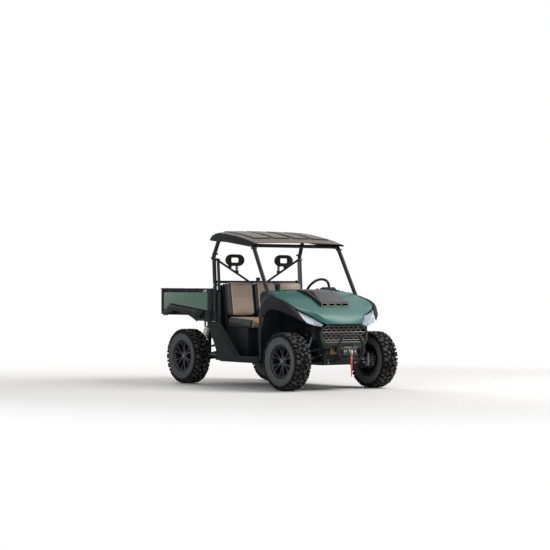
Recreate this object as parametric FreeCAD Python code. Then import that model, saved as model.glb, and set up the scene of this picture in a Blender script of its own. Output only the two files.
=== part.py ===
import FreeCAD, Part
import math
import os
from FreeCAD import Vector

# Side by side utility vehicle, millimetres.
# +X is the front, +Y the left-hand side, +Z up, ground at z = 0 under the middle of the box.

# Wheels and axles
front_axle_x = 1135.0
wheelbase = 2080.0
rear_axle_x = front_axle_x - wheelbase
tyre_radius = 350.0
tyre_width = 240.0
track_half = 675.0
tyre_half = tyre_width / 2
shoulder_radius = tyre_radius - 78.0
lug_height = 14.0
lug_pitches = 18
lug_shares = (0.0, 0.06, 0.52, 0.58)
lug_skew = 0.22
bead_radius = 182.0
rim_width = 180.0
rim_wall = 6.0
rim_spokes = 6
hub_radius = 52.0
kingpin_y = 590.0
stub_radius = 27.0
bearing_radius = 48.0
axle_z = tyre_radius

# Clearances
seat_gap = 0.3
running_gap = 0.05
panel_gap = 6.0

# Frame
rail_y = 240.0
rail_width = 50.0
rail_z0 = 306.0
rail_height = 50.0
rail_front_x = 1300.0
rail_rear_x = -1250.0
post_size = 40.0
arm_half_span = 150.0
tower_top_z = 760.0
bed_rail_top_z = 830.0
sill_y = 630.0
sill_width = 40.0
skid_thickness = 6.0

# Roll cage
cage_radius = 25.0
cage_bend = 70.0
cage_low_y = 630.0
cage_waist_y = 682.0
cage_top_y = 665.0
b_pillar_x = -351.0
a_foot_x = 672.0
brace_radius = 14.0

# Cab
floor_thickness = 6.0
floor_half_width = 600.0
tub_rear_x = -330.0
tub_front_x = 652.0
seat_back_thickness = 120.0
dash_half_width = 600.0
side_panel_y = 745.0
side_panel_thickness = 30.0

# Steering
wheel_hub = Vector(333.0, 420.0, 1188.0)
wheel_tilt = 30.0
wheel_ring_radius = 175.0
wheel_rim_radius = 15.0
column_radius = 22.0
steer_arm = 95.0
rack_z = 400.0
rack_radius = 14.0

# Bed
bed_front_x = -385.0
bed_rear_x = -1550.0
bed_inner_half = 640.0
bed_wall = 8.0
bed_rail_width = 63.0
bed_outer_half = bed_inner_half + bed_rail_width
bed_floor_z = 872.0
bed_top_z = 1218.0
bed_hinge_x = -1330.0
bed_hinge_z = 845.0
tailgate_thickness = 24.0

# Body shells
shell_thickness = 5.0
roof_thickness = 6.0
roof_half_width = 699.0
front_x = 1550.0

# Rims and knuckles
rim_lip_width = 4.0
rim_lip_height = 6.0
kingpin_radius = 20.0
bearing_length = 62.0
bearing_inset = 24.0
ball_low_z = 270.0
ball_high_z = 430.0
ball_height = 26.0
ball_radius = 24.0
tie_rod_y = 572.0

# Suspension and drive
arm_radius = 13.0
arm_low_z = rail_z0 + rail_height / 2
arm_high_z = 500.0
bushing_radius = 20.0
bushing_length = 38.0
arm_pivot_y = rail_y + rail_width / 2 + bushing_radius + seat_gap
shock_foot_y = 478.0
shock_saddle_z = 292.0
shock_eye_radius = 18.0
shock_offset_x = 50.0
shock_rod_radius = 11.0
shock_spring_radius = 26.0
shock_coils = 9
diff_half_width = 150.0
diff_shaft_z = 400.0
half_shaft_radius = 14.0
low_cross_height = 24.0
rack_housing_radius = 26.0
rack_housing_half = 180.0
winch_deck_z = 425.0

# Hitch
receiver_outer = 63.5
receiver_inner = 50.8
receiver_length = 110.0
receiver_pin_inset = 30.0
receiver_pin_radius = 8.0

# Seats and cage details
brace_x = -362.0
brace_bar_z = 1300.0
brace_bar_radius = 17.0
seat_back_foot_x = -124.0
seat_back_foot_z = 880.0
seat_back_top_x = -187.0
seat_back_top_z = 1295.0
seat_shell = 18.0
seat_deck_z = 730.0
seat_base_front_x = 232.0
seat_base_half = floor_half_width - 10.0
seat_outer_y = seat_base_half + 3.0
middle_seat_half = 178.0
seat_split = 9.0
seat_front_x = 276.0
cushion_front_z = 832.0
cushion_rear_z = 870.0
seat_round = 18.0
head_ring_x = -334.0
head_ring_y = 388.0
head_ring_z = 1577.0

# Dash, column and cowl
cowl_half = 640.0
dash_foot_z = 935.0
column_length = 330.0
column_pin_radius = 10.0
hood_hinge_x = 704.0
hood_hinge_y = 450.0
hood_hinge_z = 1199.0
hood_pin_radius = 4.0

# Scoop, fascia, lamps and bar
scoop_rear_x = 718.0
scoop_knee_x = 915.0
scoop_front_x = 1209.0
scoop_front_top_z = 1054.0
scoop_knee_z = 1190.0
scoop_rear_z = 1212.0
scoop_half = 215.0
scoop_slots = 4
liner_inner_y = 480.0
fascia_rear_x = front_axle_x + arm_half_span + post_size / 2 + seat_gap
fascia_front_x = 1394.0
grille_inset = 18.0
grille_thickness = 8.0
hex_radius = 17.0
hex_pitch = 36.0
lamp_depth = 22.0
lamp_peg_x = 1345.0
lamp_peg_radius = 8.0
bar_x = 1515.0
bar_radius = 16.0
hook_ring = 15.0
hook_bar = 6.0
strap_foot_z = 165.0

# Bed details
hinge_reach = 25.0
hinge_ear = 6.0
bed_pin_radius = 8.0
bed_floor_rear_x = -1512.0
bed_skin_y = bed_outer_half - 3.0
bed_post_rear_x = -1490.0
bed_post_front_x = -489.0
rail_cap = 15.0
flare_y = bed_outer_half + 42.0
tailgate_hinge_x = -1534.0
tailgate_hinge_z = 895.0
tailgate_pin_radius = 6.0


def box(x0, x1, y0, y1, z0, z1):
    return Part.makeBox(x1 - x0, y1 - y0, z1 - z0, Vector(x0, y0, z0))


def rod(start, end, radius):
    span = end - start
    return Part.makeCylinder(radius, span.Length, start, span)


def fuse(shapes):
    whole = shapes[0]
    for shape in shapes[1:]:
        whole = whole.fuse(shape)
    return whole.removeSplitter()


def mirrored(shape):
    return shape.mirror(Vector(0, 0, 0), Vector(0, 1, 0))


def pair(shape):
    """The same solid on the right and on the left."""
    return Part.makeCompound([shape, mirrored(shape)])


def bent_rod(points, radius, bend):
    """A round bar along straight runs joined by tangent arcs."""
    edges = []
    here = points[0]
    for before, corner, after in zip(points, points[1:], points[2:]):
        back = (before - corner).normalize()
        ahead = (after - corner).normalize()
        half = back.getAngle(ahead) / 2
        reach = min(bend / math.tan(half), 0.45 * (before - corner).Length, 0.45 * (after - corner).Length)
        bow = reach * math.tan(half)
        start = corner + back * reach
        end = corner + ahead * reach
        middle_way = (back + ahead).normalize()
        middle = corner + middle_way * (bow / math.sin(half) - bow)
        edges.append(Part.LineSegment(here, start).toShape())
        edges.append(Part.Arc(start, middle, end).toShape())
        here = end
    edges.append(Part.LineSegment(here, points[-1]).toShape())
    path = Part.Wire(edges)
    heading = points[1] - points[0]
    ring = Part.Wire([Part.Circle(points[0], heading, radius).toShape()])
    return path.makePipeShell([ring], True, True)


def prism(outline, axis, low, high):
    """An outline drawn square to an axis and drawn out along it: x takes (y, z), y takes (x, z)."""
    place = {
        "x": lambda a, b: Vector(low, a, b),
        "y": lambda a, b: Vector(a, low, b),
        "z": lambda a, b: Vector(a, b, low),
    }[axis]
    corners = [place(a, b) for a, b in outline]
    face = Part.Face(Part.makePolygon(corners + [corners[0]]))
    way = {"x": Vector(1, 0, 0), "y": Vector(0, 1, 0), "z": Vector(0, 0, 1)}[axis]
    return face.extrude(way * (high - low))


def solid_of(triangles):
    faces = []
    for a, b, c in triangles:
        if (b - a).cross(c - a).Length > 1e-6:
            faces.append(Part.Face(Part.makePolygon([a, b, c, a])))
    shell = Part.makeShell(faces)
    shell.sewShape()
    solid = Part.Solid(shell)
    if solid.Volume < 0:
        solid.reverse()
    return solid


def grid_triangles(rows, flip=False):
    triangles = []
    for low, high in zip(rows, rows[1:]):
        for k in range(len(low) - 1):
            quad = [low[k], low[k + 1], high[k + 1], high[k]]
            if flip:
                quad.reverse()
            triangles += [(quad[0], quad[1], quad[2]), (quad[0], quad[2], quad[3])]
    return triangles


def sheet(rows, thickness):
    """A shell of even thickness behind a grid of points; its back lies against the grid's normals."""
    count_u = len(rows)
    count_v = len(rows[0])
    back = []
    for i in range(count_u):
        line = []
        for j in range(count_v):
            along = rows[min(i + 1, count_u - 1)][j] - rows[max(i - 1, 0)][j]
            across = rows[i][min(j + 1, count_v - 1)] - rows[i][max(j - 1, 0)]
            normal = across.cross(along).normalize()
            line.append(rows[i][j] + normal * thickness)
        back.append(line)
    triangles = grid_triangles(rows) + grid_triangles(back, True)
    triangles += grid_triangles([back[0], rows[0]]) + grid_triangles([rows[-1], back[-1]])
    first = [[line[0] for line in rows], [line[0] for line in back]]
    last = [[line[-1] for line in back], [line[-1] for line in rows]]
    triangles += grid_triangles(first) + grid_triangles(last)
    return solid_of(triangles)


def blend(table, x):
    """Straight interpolation in a table of (place, value) rows."""
    rows = sorted(table)
    for (x0, v0), (x1, v1) in zip(rows, rows[1:]):
        if x <= x1:
            return v0 + (v1 - v0) * (x - x0) / (x1 - x0)
    return rows[-1][1]


# Wheels: an all-terrain tyre with two staggered rows of lugs on a split-spoke rim.
# Profile across the tyre: lateral share of the half width, radius, lug row (0 none, 1, 2)
tread_profile = [
    (-0.72, bead_radius, 0),
    (-0.98, bead_radius + 70.0, 0),
    (-1.00, shoulder_radius, 1),
    (-0.84, tyre_radius - 4.0, 1),
    (-0.10, tyre_radius, 1),
    (0.10, tyre_radius, 2),
    (0.84, tyre_radius - 4.0, 2),
    (1.00, shoulder_radius, 2),
    (0.98, bead_radius + 70.0, 0),
    (0.72, bead_radius, 0),
]


def tyre(x, side):
    pitch = 2 * math.pi / lug_pitches
    rest = pitch * (lug_shares[1] + lug_skew * 0.10)
    rows = []
    for turn in range(lug_pitches):
        for step, share_of_pitch in enumerate(lug_shares):
            line = []
            for share, radius, row in tread_profile:
                theta = pitch * (turn + share_of_pitch + lug_skew * abs(share)) - rest
                on_lug = step in (1, 2) if row == 1 else step in (0, 3)
                r = radius if row == 0 or on_lug else radius - lug_height
                line.append(Vector(r * math.sin(theta), share * tyre_half, -r * math.cos(theta)))
            rows.append(line)
    rows.append(rows[0])
    bore = [[line[-1], line[0]] for line in rows]
    solid = solid_of(grid_triangles(rows) + grid_triangles(bore))
    if side < 0:
        solid = mirrored(solid)
    solid.translate(Vector(x, side * track_half, axle_z))
    return solid


def rim(x, side):
    """Barrel with lips, split spokes, hub and the stub axle that turns in the knuckle."""
    across = Vector(0, 1, 0)
    half = rim_width / 2
    outer = bead_radius * math.cos(math.pi / lug_pitches * 0.46) - seat_gap
    inner = outer - rim_wall
    pieces = [Part.makeCylinder(outer, rim_width, Vector(0, -half, 0), across)]
    for end in (-half - rim_lip_width, half):
        pieces.append(Part.makeCylinder(outer + rim_lip_height, rim_lip_width, Vector(0, end, 0), across))
    length = rim_width + 2 * rim_lip_width
    barrel = fuse(pieces).cut(Part.makeCylinder(inner, length, Vector(0, -length / 2, 0), across))
    face_in = half - 52.0
    face_out = half - 24.0
    hub = Part.makeCylinder(hub_radius, face_out - face_in + 16.0, Vector(0, face_in, 0), across)
    pieces = [barrel, hub]
    for k in range(rim_spokes):
        for lean in (-1, 1):
            arm = prism([(-11.0, hub_radius - 12.0), (11.0, hub_radius - 12.0),
                         (lean * 36.0 + 10.0, inner + 2.0), (lean * 36.0 - 10.0, inner + 2.0)],
                        "y", face_in, face_out)
            arm.rotate(Vector(0, 0, 0), across, 360.0 * k / rim_spokes)
            pieces.append(arm.common(Part.makeCylinder(outer - 1.0, rim_width, Vector(0, -half, 0), across)))
    inner_end = kingpin_y + bearing_inset + 2.0 - track_half
    pieces.append(Part.makeCylinder(stub_radius, face_in + 4.0 - inner_end, Vector(0, inner_end, 0), across))
    whole = fuse(pieces)
    if side < 0:
        whole = mirrored(whole)
    whole.translate(Vector(x, side * track_half, axle_z))
    return whole


def knuckle(x, lever):
    """Left-hand upright: kingpin post, bearing ring and, in front, the steering lever."""
    pieces = [rod(Vector(x, kingpin_y, ball_low_z), Vector(x, kingpin_y, ball_high_z), kingpin_radius),
              rod(Vector(x, kingpin_y + 2.0, axle_z), Vector(x, kingpin_y + bearing_length, axle_z),
                  bearing_radius)]
    if lever:
        tip_x = x - steer_arm
        outline = [(x + 5.0, kingpin_y + 16.0), (tip_x, tie_rod_y + 15.0), (tip_x - 15.0, tie_rod_y),
                   (tip_x, tie_rod_y - 15.0), (x + 5.0, kingpin_y - 16.0)]
        pieces.append(prism(outline, "z", rack_z + 10.0, rack_z + 24.0))
    bore = rod(Vector(x, kingpin_y + bearing_inset, axle_z),
               Vector(x, kingpin_y + bearing_length + 1.0, axle_z), stub_radius + running_gap)
    return fuse(pieces).cut(bore)


# Suspension: arched wishbones, coil-over units and half shafts
def wishbone(x, inner_z, outer_z, ball_z, arch, spread, neck_half):
    ball = rod(Vector(x, kingpin_y, ball_z), Vector(x, kingpin_y, ball_z + ball_height), ball_radius)
    pieces = [ball]
    for way in (-1, 1):
        inner = Vector(x + way * arm_half_span, arm_pivot_y, inner_z)
        bend = Vector(x + way * arm_half_span * spread, arm_pivot_y + 125.0, (inner_z + outer_z) / 2 + arch)
        neck = Vector(x + way * neck_half, kingpin_y - 62.0, outer_z)
        outer = Vector(x + way * 6.0, kingpin_y - 4.0, outer_z)
        half = Vector(bushing_length / 2, 0, 0)
        pieces.append(bent_rod([inner, bend, neck, outer], arm_radius, 150.0))
        pieces.append(rod(inner - half, inner + half, bushing_radius))
    return pieces


def suspension_arms():
    solids = []
    for x in (front_axle_x, rear_axle_x):
        low_ball = ball_low_z - seat_gap - ball_height
        lower = wishbone(x, arm_low_z, low_ball + ball_height / 2, low_ball, 24.0, 0.6, 22.0)
        lower.append(rod(Vector(x - 64.0, shock_foot_y, shock_saddle_z),
                         Vector(x + 64.0, shock_foot_y, shock_saddle_z), arm_radius))
        high_ball = ball_high_z + seat_gap
        upper = wishbone(x, arm_high_z, high_ball + ball_height / 2, high_ball, 4.0, 0.9, 40.0)
        solids += [fuse(lower), fuse(upper)]
    return Part.makeCompound(solids + [mirrored(s) for s in solids])


def shocks():
    """Each coil-over unit stands on the lower arm's cross tube and hangs from the tower."""
    solids = []
    for x, way in ((front_axle_x, 1), (rear_axle_x, -1)):
        at_x = x + way * shock_offset_x
        foot = Vector(at_x, shock_foot_y, shock_saddle_z + arm_radius + seat_gap + shock_eye_radius)
        head = Vector(at_x, rail_y + rail_width / 2 + shock_eye_radius + seat_gap, tower_top_z - post_size / 2)
        axis = (head - foot).normalize()
        length = (head - foot).Length
        half = Vector(12.0, 0, 0)
        pieces = [rod(foot - half, foot + half, shock_eye_radius),
                  rod(head - half, head + half, shock_eye_radius),
                  rod(foot, head, shock_rod_radius),
                  rod(foot + axis * 66.0, foot + axis * (length - 60.0), shock_spring_radius - 6.0)]
        for k in range(shock_coils):
            at = foot + axis * (72.0 + k * (length - 150.0) / (shock_coils - 1))
            pieces.append(rod(at, at + axis * 11.0, shock_spring_radius))
        solids.append(fuse(pieces))
    return Part.makeCompound(solids + [mirrored(s) for s in solids])


def half_shafts():
    solids = []
    for x in (front_axle_x, rear_axle_x):
        inner = Vector(x, diff_half_width + seat_gap, diff_shaft_z)
        outer = Vector(x, kingpin_y - kingpin_radius - 18.0, axle_z)
        axis = (outer - inner).normalize()
        flange = rod(inner, inner + Vector(0, 30.0, 0), 34.0)
        shaft = rod(inner + Vector(0, 15.0, 0), outer, half_shaft_radius)
        cup = rod(outer - axis * 46.0, outer, 30.0)
        solids.append(fuse([flange, shaft, cup]))
    return Part.makeCompound(solids + [mirrored(s) for s in solids])


def drive_units():
    floor = rail_z0 + low_cross_height + seat_gap
    front = box(front_axle_x - 58.0, front_axle_x + 60.0, -diff_half_width, diff_half_width, floor, 470.0)
    rear = box(rear_axle_x - 90.0, rear_axle_x + 90.0, -diff_half_width, diff_half_width, floor, 500.0)
    return Part.makeCompound([front, rear])


def main_frame():
    """Two long rails, sill rails, shock towers, the bed's rails and their cross members."""
    low = rail_z0
    high = rail_z0 + rail_height
    in_y = rail_y - rail_width / 2
    out_y = rail_y + rail_width / 2
    post_y = out_y - post_size
    bed_low = bed_rail_top_z - post_size
    seat_post_x = b_pillar_x - 100.0
    tower_xs = [axle + way * arm_half_span for axle in (front_axle_x, rear_axle_x) for way in (-1, 1)]
    half = post_size / 2
    # Left-hand members: start x, end x, start y, end y, bottom, top
    members = [
        (rail_rear_x, rail_front_x, in_y, out_y, low, high),
        (b_pillar_x - 20.0, a_foot_x + 20.0, sill_y - sill_width / 2, sill_y + sill_width / 2,
         high - 40.0, high),
        (bed_hinge_x + hinge_reach, seat_post_x + post_size, post_y, out_y, bed_low, bed_rail_top_z),
        (seat_post_x, seat_post_x + post_size, post_y, out_y, high - 5.0, bed_rail_top_z),
    ]
    for axle in (front_axle_x, rear_axle_x):
        members.append((axle - arm_half_span, axle + arm_half_span, post_y, out_y,
                        tower_top_z - post_size, tower_top_z))
    for tower_x in tower_xs:
        top = tower_top_z if tower_x > 0 else bed_rail_top_z
        members.append((tower_x - half, tower_x + half, post_y, out_y, high - 5.0, top))
    for ear_y in (post_y, out_y - hinge_ear):
        members.append((bed_hinge_x - 16.0, bed_hinge_x + hinge_reach + 30.0, ear_y, ear_y + hinge_ear,
                        bed_low, bed_hinge_z + 12.0))
    pieces = []
    for x0, x1, y0, y1, z0, z1 in members:
        pieces += [box(x0, x1, y0, y1, z0, z1), box(x0, x1, -y1, -y0, z0, z1)]
    foot_y = cage_low_y + cage_radius
    rack_x = front_axle_x - steer_arm
    # Cross members: start x, end x, half width, bottom, top
    crosses = [
        (rail_rear_x, rail_rear_x + 45.0, out_y, low, high),
        (rear_axle_x - 40.0, rear_axle_x + 40.0, out_y, low, low + low_cross_height),
        (b_pillar_x - 20.0, b_pillar_x + 20.0, foot_y, high - 40.0, high),
        (140.0, 180.0, sill_y, high - 40.0, high),
        (a_foot_x - 20.0, a_foot_x + 20.0, foot_y, high - 40.0, high),
        (rack_x - 20.0, rack_x + 20.0, out_y, low, high),
        (rack_x - 20.0, rack_x + 20.0, 60.0, high - 5.0, rack_z - rack_housing_radius - seat_gap),
        (front_axle_x - 30.0, front_axle_x + 40.0, out_y, low, low + low_cross_height),
        (rail_front_x - 5.0, rail_front_x + 30.0, out_y, low, winch_deck_z - seat_gap),
        (bed_hinge_x + hinge_reach, bed_hinge_x + hinge_reach + 30.0, out_y, bed_low, bed_rail_top_z),
        (seat_post_x, seat_post_x + post_size, out_y, bed_low, bed_rail_top_z),
        (tower_xs[1] - half, tower_xs[1] + half, out_y, tower_top_z - post_size, tower_top_z),
        (tower_xs[0] - half, tower_xs[0] + half, out_y, tower_top_z - post_size, tower_top_z),
    ]
    pieces += [box(x0, x1, -half_y, half_y, z0, z1) for x0, x1, half_y, z0, z1 in crosses]
    for side in (-1, 1):
        start = side * (post_y + 1.0)
        end = side * (out_y - 1.0)
        pieces.append(rod(Vector(bed_hinge_x, start, bed_hinge_z), Vector(bed_hinge_x, end, bed_hinge_z),
                          bed_pin_radius))
    return fuse(pieces)


def skid_plate():
    half = rail_y + rail_width / 2
    return box(b_pillar_x, rail_front_x - 10.0, -half, half, rail_z0 - seat_gap - skid_thickness,
               rail_z0 - seat_gap)


def engine_block():
    return box(-770.0, -455.0, -rail_y + 20.0, rail_y - 20.0, rail_z0 + rail_height + seat_gap, 700.0)


def muffler():
    """Transverse silencer drum behind the engine, hung from the bed rails' cross member."""
    centre = Vector(-1200.0, -210.0, 640.0)
    drum = rod(centre, centre + Vector(0, 420.0, 0), 82.0)
    under_rail = bed_rail_top_z - post_size - seat_gap
    hanger = box(-1215.0, -1185.0, -rail_y, rail_y, 715.0, 724.0)
    straps = [box(-1215.0, -1185.0, y - 8.0, y + 8.0, 715.0, under_rail) for y in (-rail_y, rail_y)]
    pipe = rod(centre + Vector(-40.0, 40.0, -30.0), centre + Vector(-190.0, 40.0, -60.0), 20.0)
    return fuse([drum, hanger] + straps + [pipe])


def hitch_receiver():
    """Square receiver tube with a cross hole for the hitch pin, on the rear cross member."""
    half = receiver_outer / 2
    centre_z = rail_z0 + rail_height / 2
    end = rail_rear_x - seat_gap
    tube = box(end - receiver_length, end, -half, half, centre_z - half, centre_z + half)
    bore_half = receiver_inner / 2
    tube = tube.cut(box(end - receiver_length - 1.0, end - 12.0, -bore_half, bore_half,
                        centre_z - bore_half, centre_z + bore_half))
    pin_x = end - receiver_length + receiver_pin_inset
    pin = rod(Vector(pin_x, -half - 1.0, centre_z), Vector(pin_x, half + 1.0, centre_z), receiver_pin_radius)
    flange = box(end - 10.0, end, -110.0, 110.0, centre_z - 24.0, centre_z + 24.0)
    return tube.fuse(flange).cut(pin)


# Cage, roof and cab
def cage_side():
    """One side of the cage in a single bar: sill, windscreen pillar, roof rail, rear pillar, sill."""
    return [
        Vector(a_foot_x, cage_low_y, rail_z0 + rail_height + seat_gap),
        Vector(a_foot_x, cage_low_y, 860.0),
        Vector(785.0, cage_waist_y, 1120.0),
        Vector(432.0, cage_top_y, 1750.0),
        Vector(-287.0, cage_top_y, 1842.0),
        Vector(-378.0, cage_waist_y, 1630.0),
        Vector(b_pillar_x, cage_waist_y, bed_top_z),
        Vector(b_pillar_x, cage_waist_y - 2.0, 940.0),
        Vector(b_pillar_x + 10.0, cage_low_y, 690.0),
        Vector(b_pillar_x + 10.0, cage_low_y, rail_z0 + rail_height + seat_gap),
    ]


def brace_line():
    return Vector(-377.0, cage_waist_y - 8.0, 1600.0), Vector(brace_x, 158.0, brace_bar_z + 14.0)


def roll_cage():
    side = bent_rod(cage_side(), cage_radius, cage_bend)
    pieces = [side, mirrored(side)]
    # Cross bars: x, z, half length, radius
    bars = [(430.0, 1748.0, cage_top_y, cage_radius - 3.0), (-287.0, 1838.0, cage_top_y, cage_radius - 3.0),
            (brace_x, brace_bar_z, cage_waist_y - 6.0, brace_bar_radius)]
    for x, z, half, radius in bars:
        pieces.append(rod(Vector(x, -half, z), Vector(x, half, z), radius))
    high, low = brace_line()
    brace = rod(high, low, brace_radius)
    pieces += [brace, mirrored(brace)]
    return fuse(pieces)


# Roof sections from rear to front: x, height of the edge, height of the middle, foot of the flange
roof_sections = [
    (-444.0, 1858.0, 1866.0, 1824.0),
    (-400.0, 1893.0, 1906.0, 1816.0),
    (-320.0, 1916.0, 1930.0, 1809.0),
    (-237.0, 1922.0, 1934.0, 1806.0),
    (-100.0, 1906.0, 1919.0, 1796.0),
    (100.0, 1878.0, 1890.0, 1781.0),
    (300.0, 1838.0, 1850.0, 1765.0),
    (431.0, 1802.0, 1814.0, 1757.0),
    (520.0, 1776.0, 1790.0, 1752.0),
]
# Two raised pads on each side of the roof: start and end as shares of the half width, start and end x
roof_pads = [(0.06, 0.38), (0.48, 0.85)]
roof_pad_rear_x = -300.0
roof_pad_front_x = 330.0
roof_pad_height = 14.0


def roof():
    shares = [0.0, 0.95]
    for start, end in roof_pads:
        shares += [start - 0.01, start, end, end + 0.02]
    shares.sort()
    half = roof_half_width - 10.0
    pad_xs = {roof_pad_rear_x - 12.0, roof_pad_rear_x, roof_pad_front_x, roof_pad_front_x + 12.0}
    xs = sorted({x for x, *rest in roof_sections} | pad_xs)
    rows = []
    for x in xs:
        edge = blend([(s[0], s[1]) for s in roof_sections], x)
        middle = blend([(s[0], s[2]) for s in roof_sections], x)
        foot = blend([(s[0], s[3]) for s in roof_sections], x)
        line = []
        for share in shares:
            z = middle + (edge - middle) * share ** 2
            on_pad = any(start <= share <= end for start, end in roof_pads)
            if on_pad and roof_pad_rear_x <= x <= roof_pad_front_x:
                z += roof_pad_height
            line.append(Vector(x, share * half, z))
        line.append(Vector(x, half, edge - 4.0))
        line.append(Vector(x, roof_half_width, edge - 14.0))
        line.append(Vector(x, roof_half_width, foot))
        right = [Vector(p.x, -p.y, p.z) for p in reversed(line[1:])]
        rows.append(right + line)
    return sheet(rows, roof_thickness)


def footwell_tub():
    """Floor pan, toe board and firewall in one bent sheet."""
    t = floor_thickness
    z = rail_z0 + rail_height + seat_gap
    front = tub_front_x
    top = dash_foot_z - seat_gap
    outline = [(tub_rear_x, z), (front - 60.0, z), (front, z + 70.0), (front, top), (front - t, top),
               (front - t, z + 72.0), (front - 62.0, z + t), (tub_rear_x, z + t)]
    return prism(outline, "y", -floor_half_width, floor_half_width)


def back_face(z):
    """Where the seat backs' rear face lies at a height."""
    run = (seat_back_top_x - seat_back_foot_x) / (seat_back_top_z - seat_back_foot_z)
    return seat_back_foot_x - seat_back_thickness * 1.012 + run * (z - seat_back_foot_z)


def seat_base():
    low = rail_z0 + rail_height + seat_gap + floor_thickness + seat_gap
    top = seat_deck_z
    high = seat_back_top_z - 20.0
    t = seat_shell
    outline = [(seat_base_front_x, low), (seat_base_front_x, top), (back_face(top) - seat_gap, top),
               (back_face(high) - seat_gap, high), (back_face(high) - t, high), (back_face(top) - t, top),
               (back_face(top) - t, low)]
    return prism(outline, "y", -seat_base_half, seat_base_half)


def seat_spans():
    """Right, middle and left seats: start y and end y."""
    outer = seat_outer_y
    inner = middle_seat_half + seat_split
    return [(-outer, -inner), (-middle_seat_half, middle_seat_half), (inner, outer)]


def rounded(solid, radius):
    return solid.makeFillet(radius, solid.Edges)


def seat_backs():
    solids = []
    for y0, y1 in seat_spans():
        foot = back_face(seat_back_foot_z)
        top = back_face(seat_back_top_z)
        t = seat_back_thickness
        outline = [(foot, seat_back_foot_z), (foot + t, seat_back_foot_z + 6.0), (top + t, seat_back_top_z),
                   (top, seat_back_top_z)]
        solids.append(rounded(prism(outline, "y", y0, y1), seat_round))
    return Part.makeCompound(solids)


def seat_cushions():
    solids = []
    low = seat_deck_z + seat_gap
    for y0, y1 in seat_spans():
        rear = back_face(low) + 4.0
        outline = [(rear, low), (seat_front_x - 20.0, low), (seat_front_x, cushion_front_z),
                   (rear + 20.0, cushion_rear_z)]
        solids.append(rounded(prism(outline, "y", y0, y1), seat_round))
    return Part.makeCompound(solids)


def stadium(y, z, half_gap, radius, x0, x1):
    """A round-ended bar's outline across the vehicle, drawn out along x."""
    top = Part.Arc(Vector(x0, y + half_gap, z - radius), Vector(x0, y + half_gap + radius, z),
                   Vector(x0, y + half_gap, z + radius))
    end = Part.Arc(Vector(x0, y - half_gap, z + radius), Vector(x0, y - half_gap - radius, z),
                   Vector(x0, y - half_gap, z - radius))
    a = Part.LineSegment(Vector(x0, y + half_gap, z + radius), Vector(x0, y - half_gap, z + radius))
    b = Part.LineSegment(Vector(x0, y - half_gap, z - radius), Vector(x0, y + half_gap, z - radius))
    wire = Part.Wire([top.toShape(), a.toShape(), end.toShape(), b.toShape()])
    return Part.Face(wire).extrude(Vector(x1 - x0, 0, 0))


def head_restraints():
    """Open oval rings on two posts that stand on the brace."""
    high, low = brace_line()
    x0 = head_ring_x - 26.0
    ring = stadium(head_ring_y, head_ring_z, 66.0, 76.0, x0, x0 + 52.0)
    ring = ring.cut(stadium(head_ring_y, head_ring_z, 34.0, 30.0, x0 - 1.0, x0 + 53.0))
    pieces = [ring]
    slope = (high.z - low.z) / (high.y - low.y)
    lift = brace_radius * math.sqrt(1 + slope ** 2)
    for y in (head_ring_y - 55.0, head_ring_y + 55.0):
        foot = low.z + slope * (y - low.y) + lift + seat_gap + 3.5
        x = low.x + (high.x - low.x) * (y - low.y) / (high.y - low.y)
        pieces.append(rod(Vector(x + 4.0, y, foot), Vector(x + 4.0, y, head_ring_z - 70.0), 7.0))
    return pair(fuse(pieces))


def seat_belts():
    """Webbing down each rear pillar with its guide, tongue and reel, and the middle seat's guide."""
    y0 = cage_waist_y - 26.0
    y1 = cage_waist_y + 22.0
    web = prism([(-346.0, 1590.0), (-342.5, 1590.0), (-317.5, bed_top_z), (-308.5, 775.0), (-312.0, 775.0),
                 (-321.0, bed_top_z)], "y", y0, y1)
    guide = box(-348.7, -338.0, y0 - 5.0, y1 + 3.0, 1566.0, 1596.0)
    tongue = box(-325.0, -314.0, y0 - 2.0, y1 + 2.0, 1150.0, 1200.0)
    reel = box(-316.6, -288.0, y0 - 4.0, y1 + 4.0, 715.0, 790.0)
    side = fuse([web, guide, tongue, reel])
    middle = box(brace_x - 14.0, brace_x + 14.0, -26.0, 26.0, brace_bar_z + brace_bar_radius + seat_gap,
                 brace_bar_z + 60.0)
    return Part.makeCompound([side, mirrored(side), middle])


def rear_cab_panel():
    low = rail_z0 + rail_height + seat_gap
    return box(-374.0, -368.0, -floor_half_width + 5.0, floor_half_width - 5.0, low, 1262.0)


def side_panels():
    """The slanted body side behind the door opening, in one piece with the sill cover."""
    out = side_panel_y
    slant = [(-478.0, 915.0), (-382.0, 915.0), (-378.0, 806.0), (-180.0, 799.0), (270.0, 377.0),
             (270.0, 320.0), (-172.0, 320.0), (-424.0, 794.0), (-478.0, 800.0)]
    panel = prism(slant, "y", out - side_panel_thickness, out)
    sill = prism([(-150.0, 310.0), (659.5, 310.0), (659.5, 389.0), (-190.0, 389.0)], "y",
                 cage_low_y + cage_radius + seat_gap, out)
    return pair(panel.fuse(sill).removeSplitter())


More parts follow.
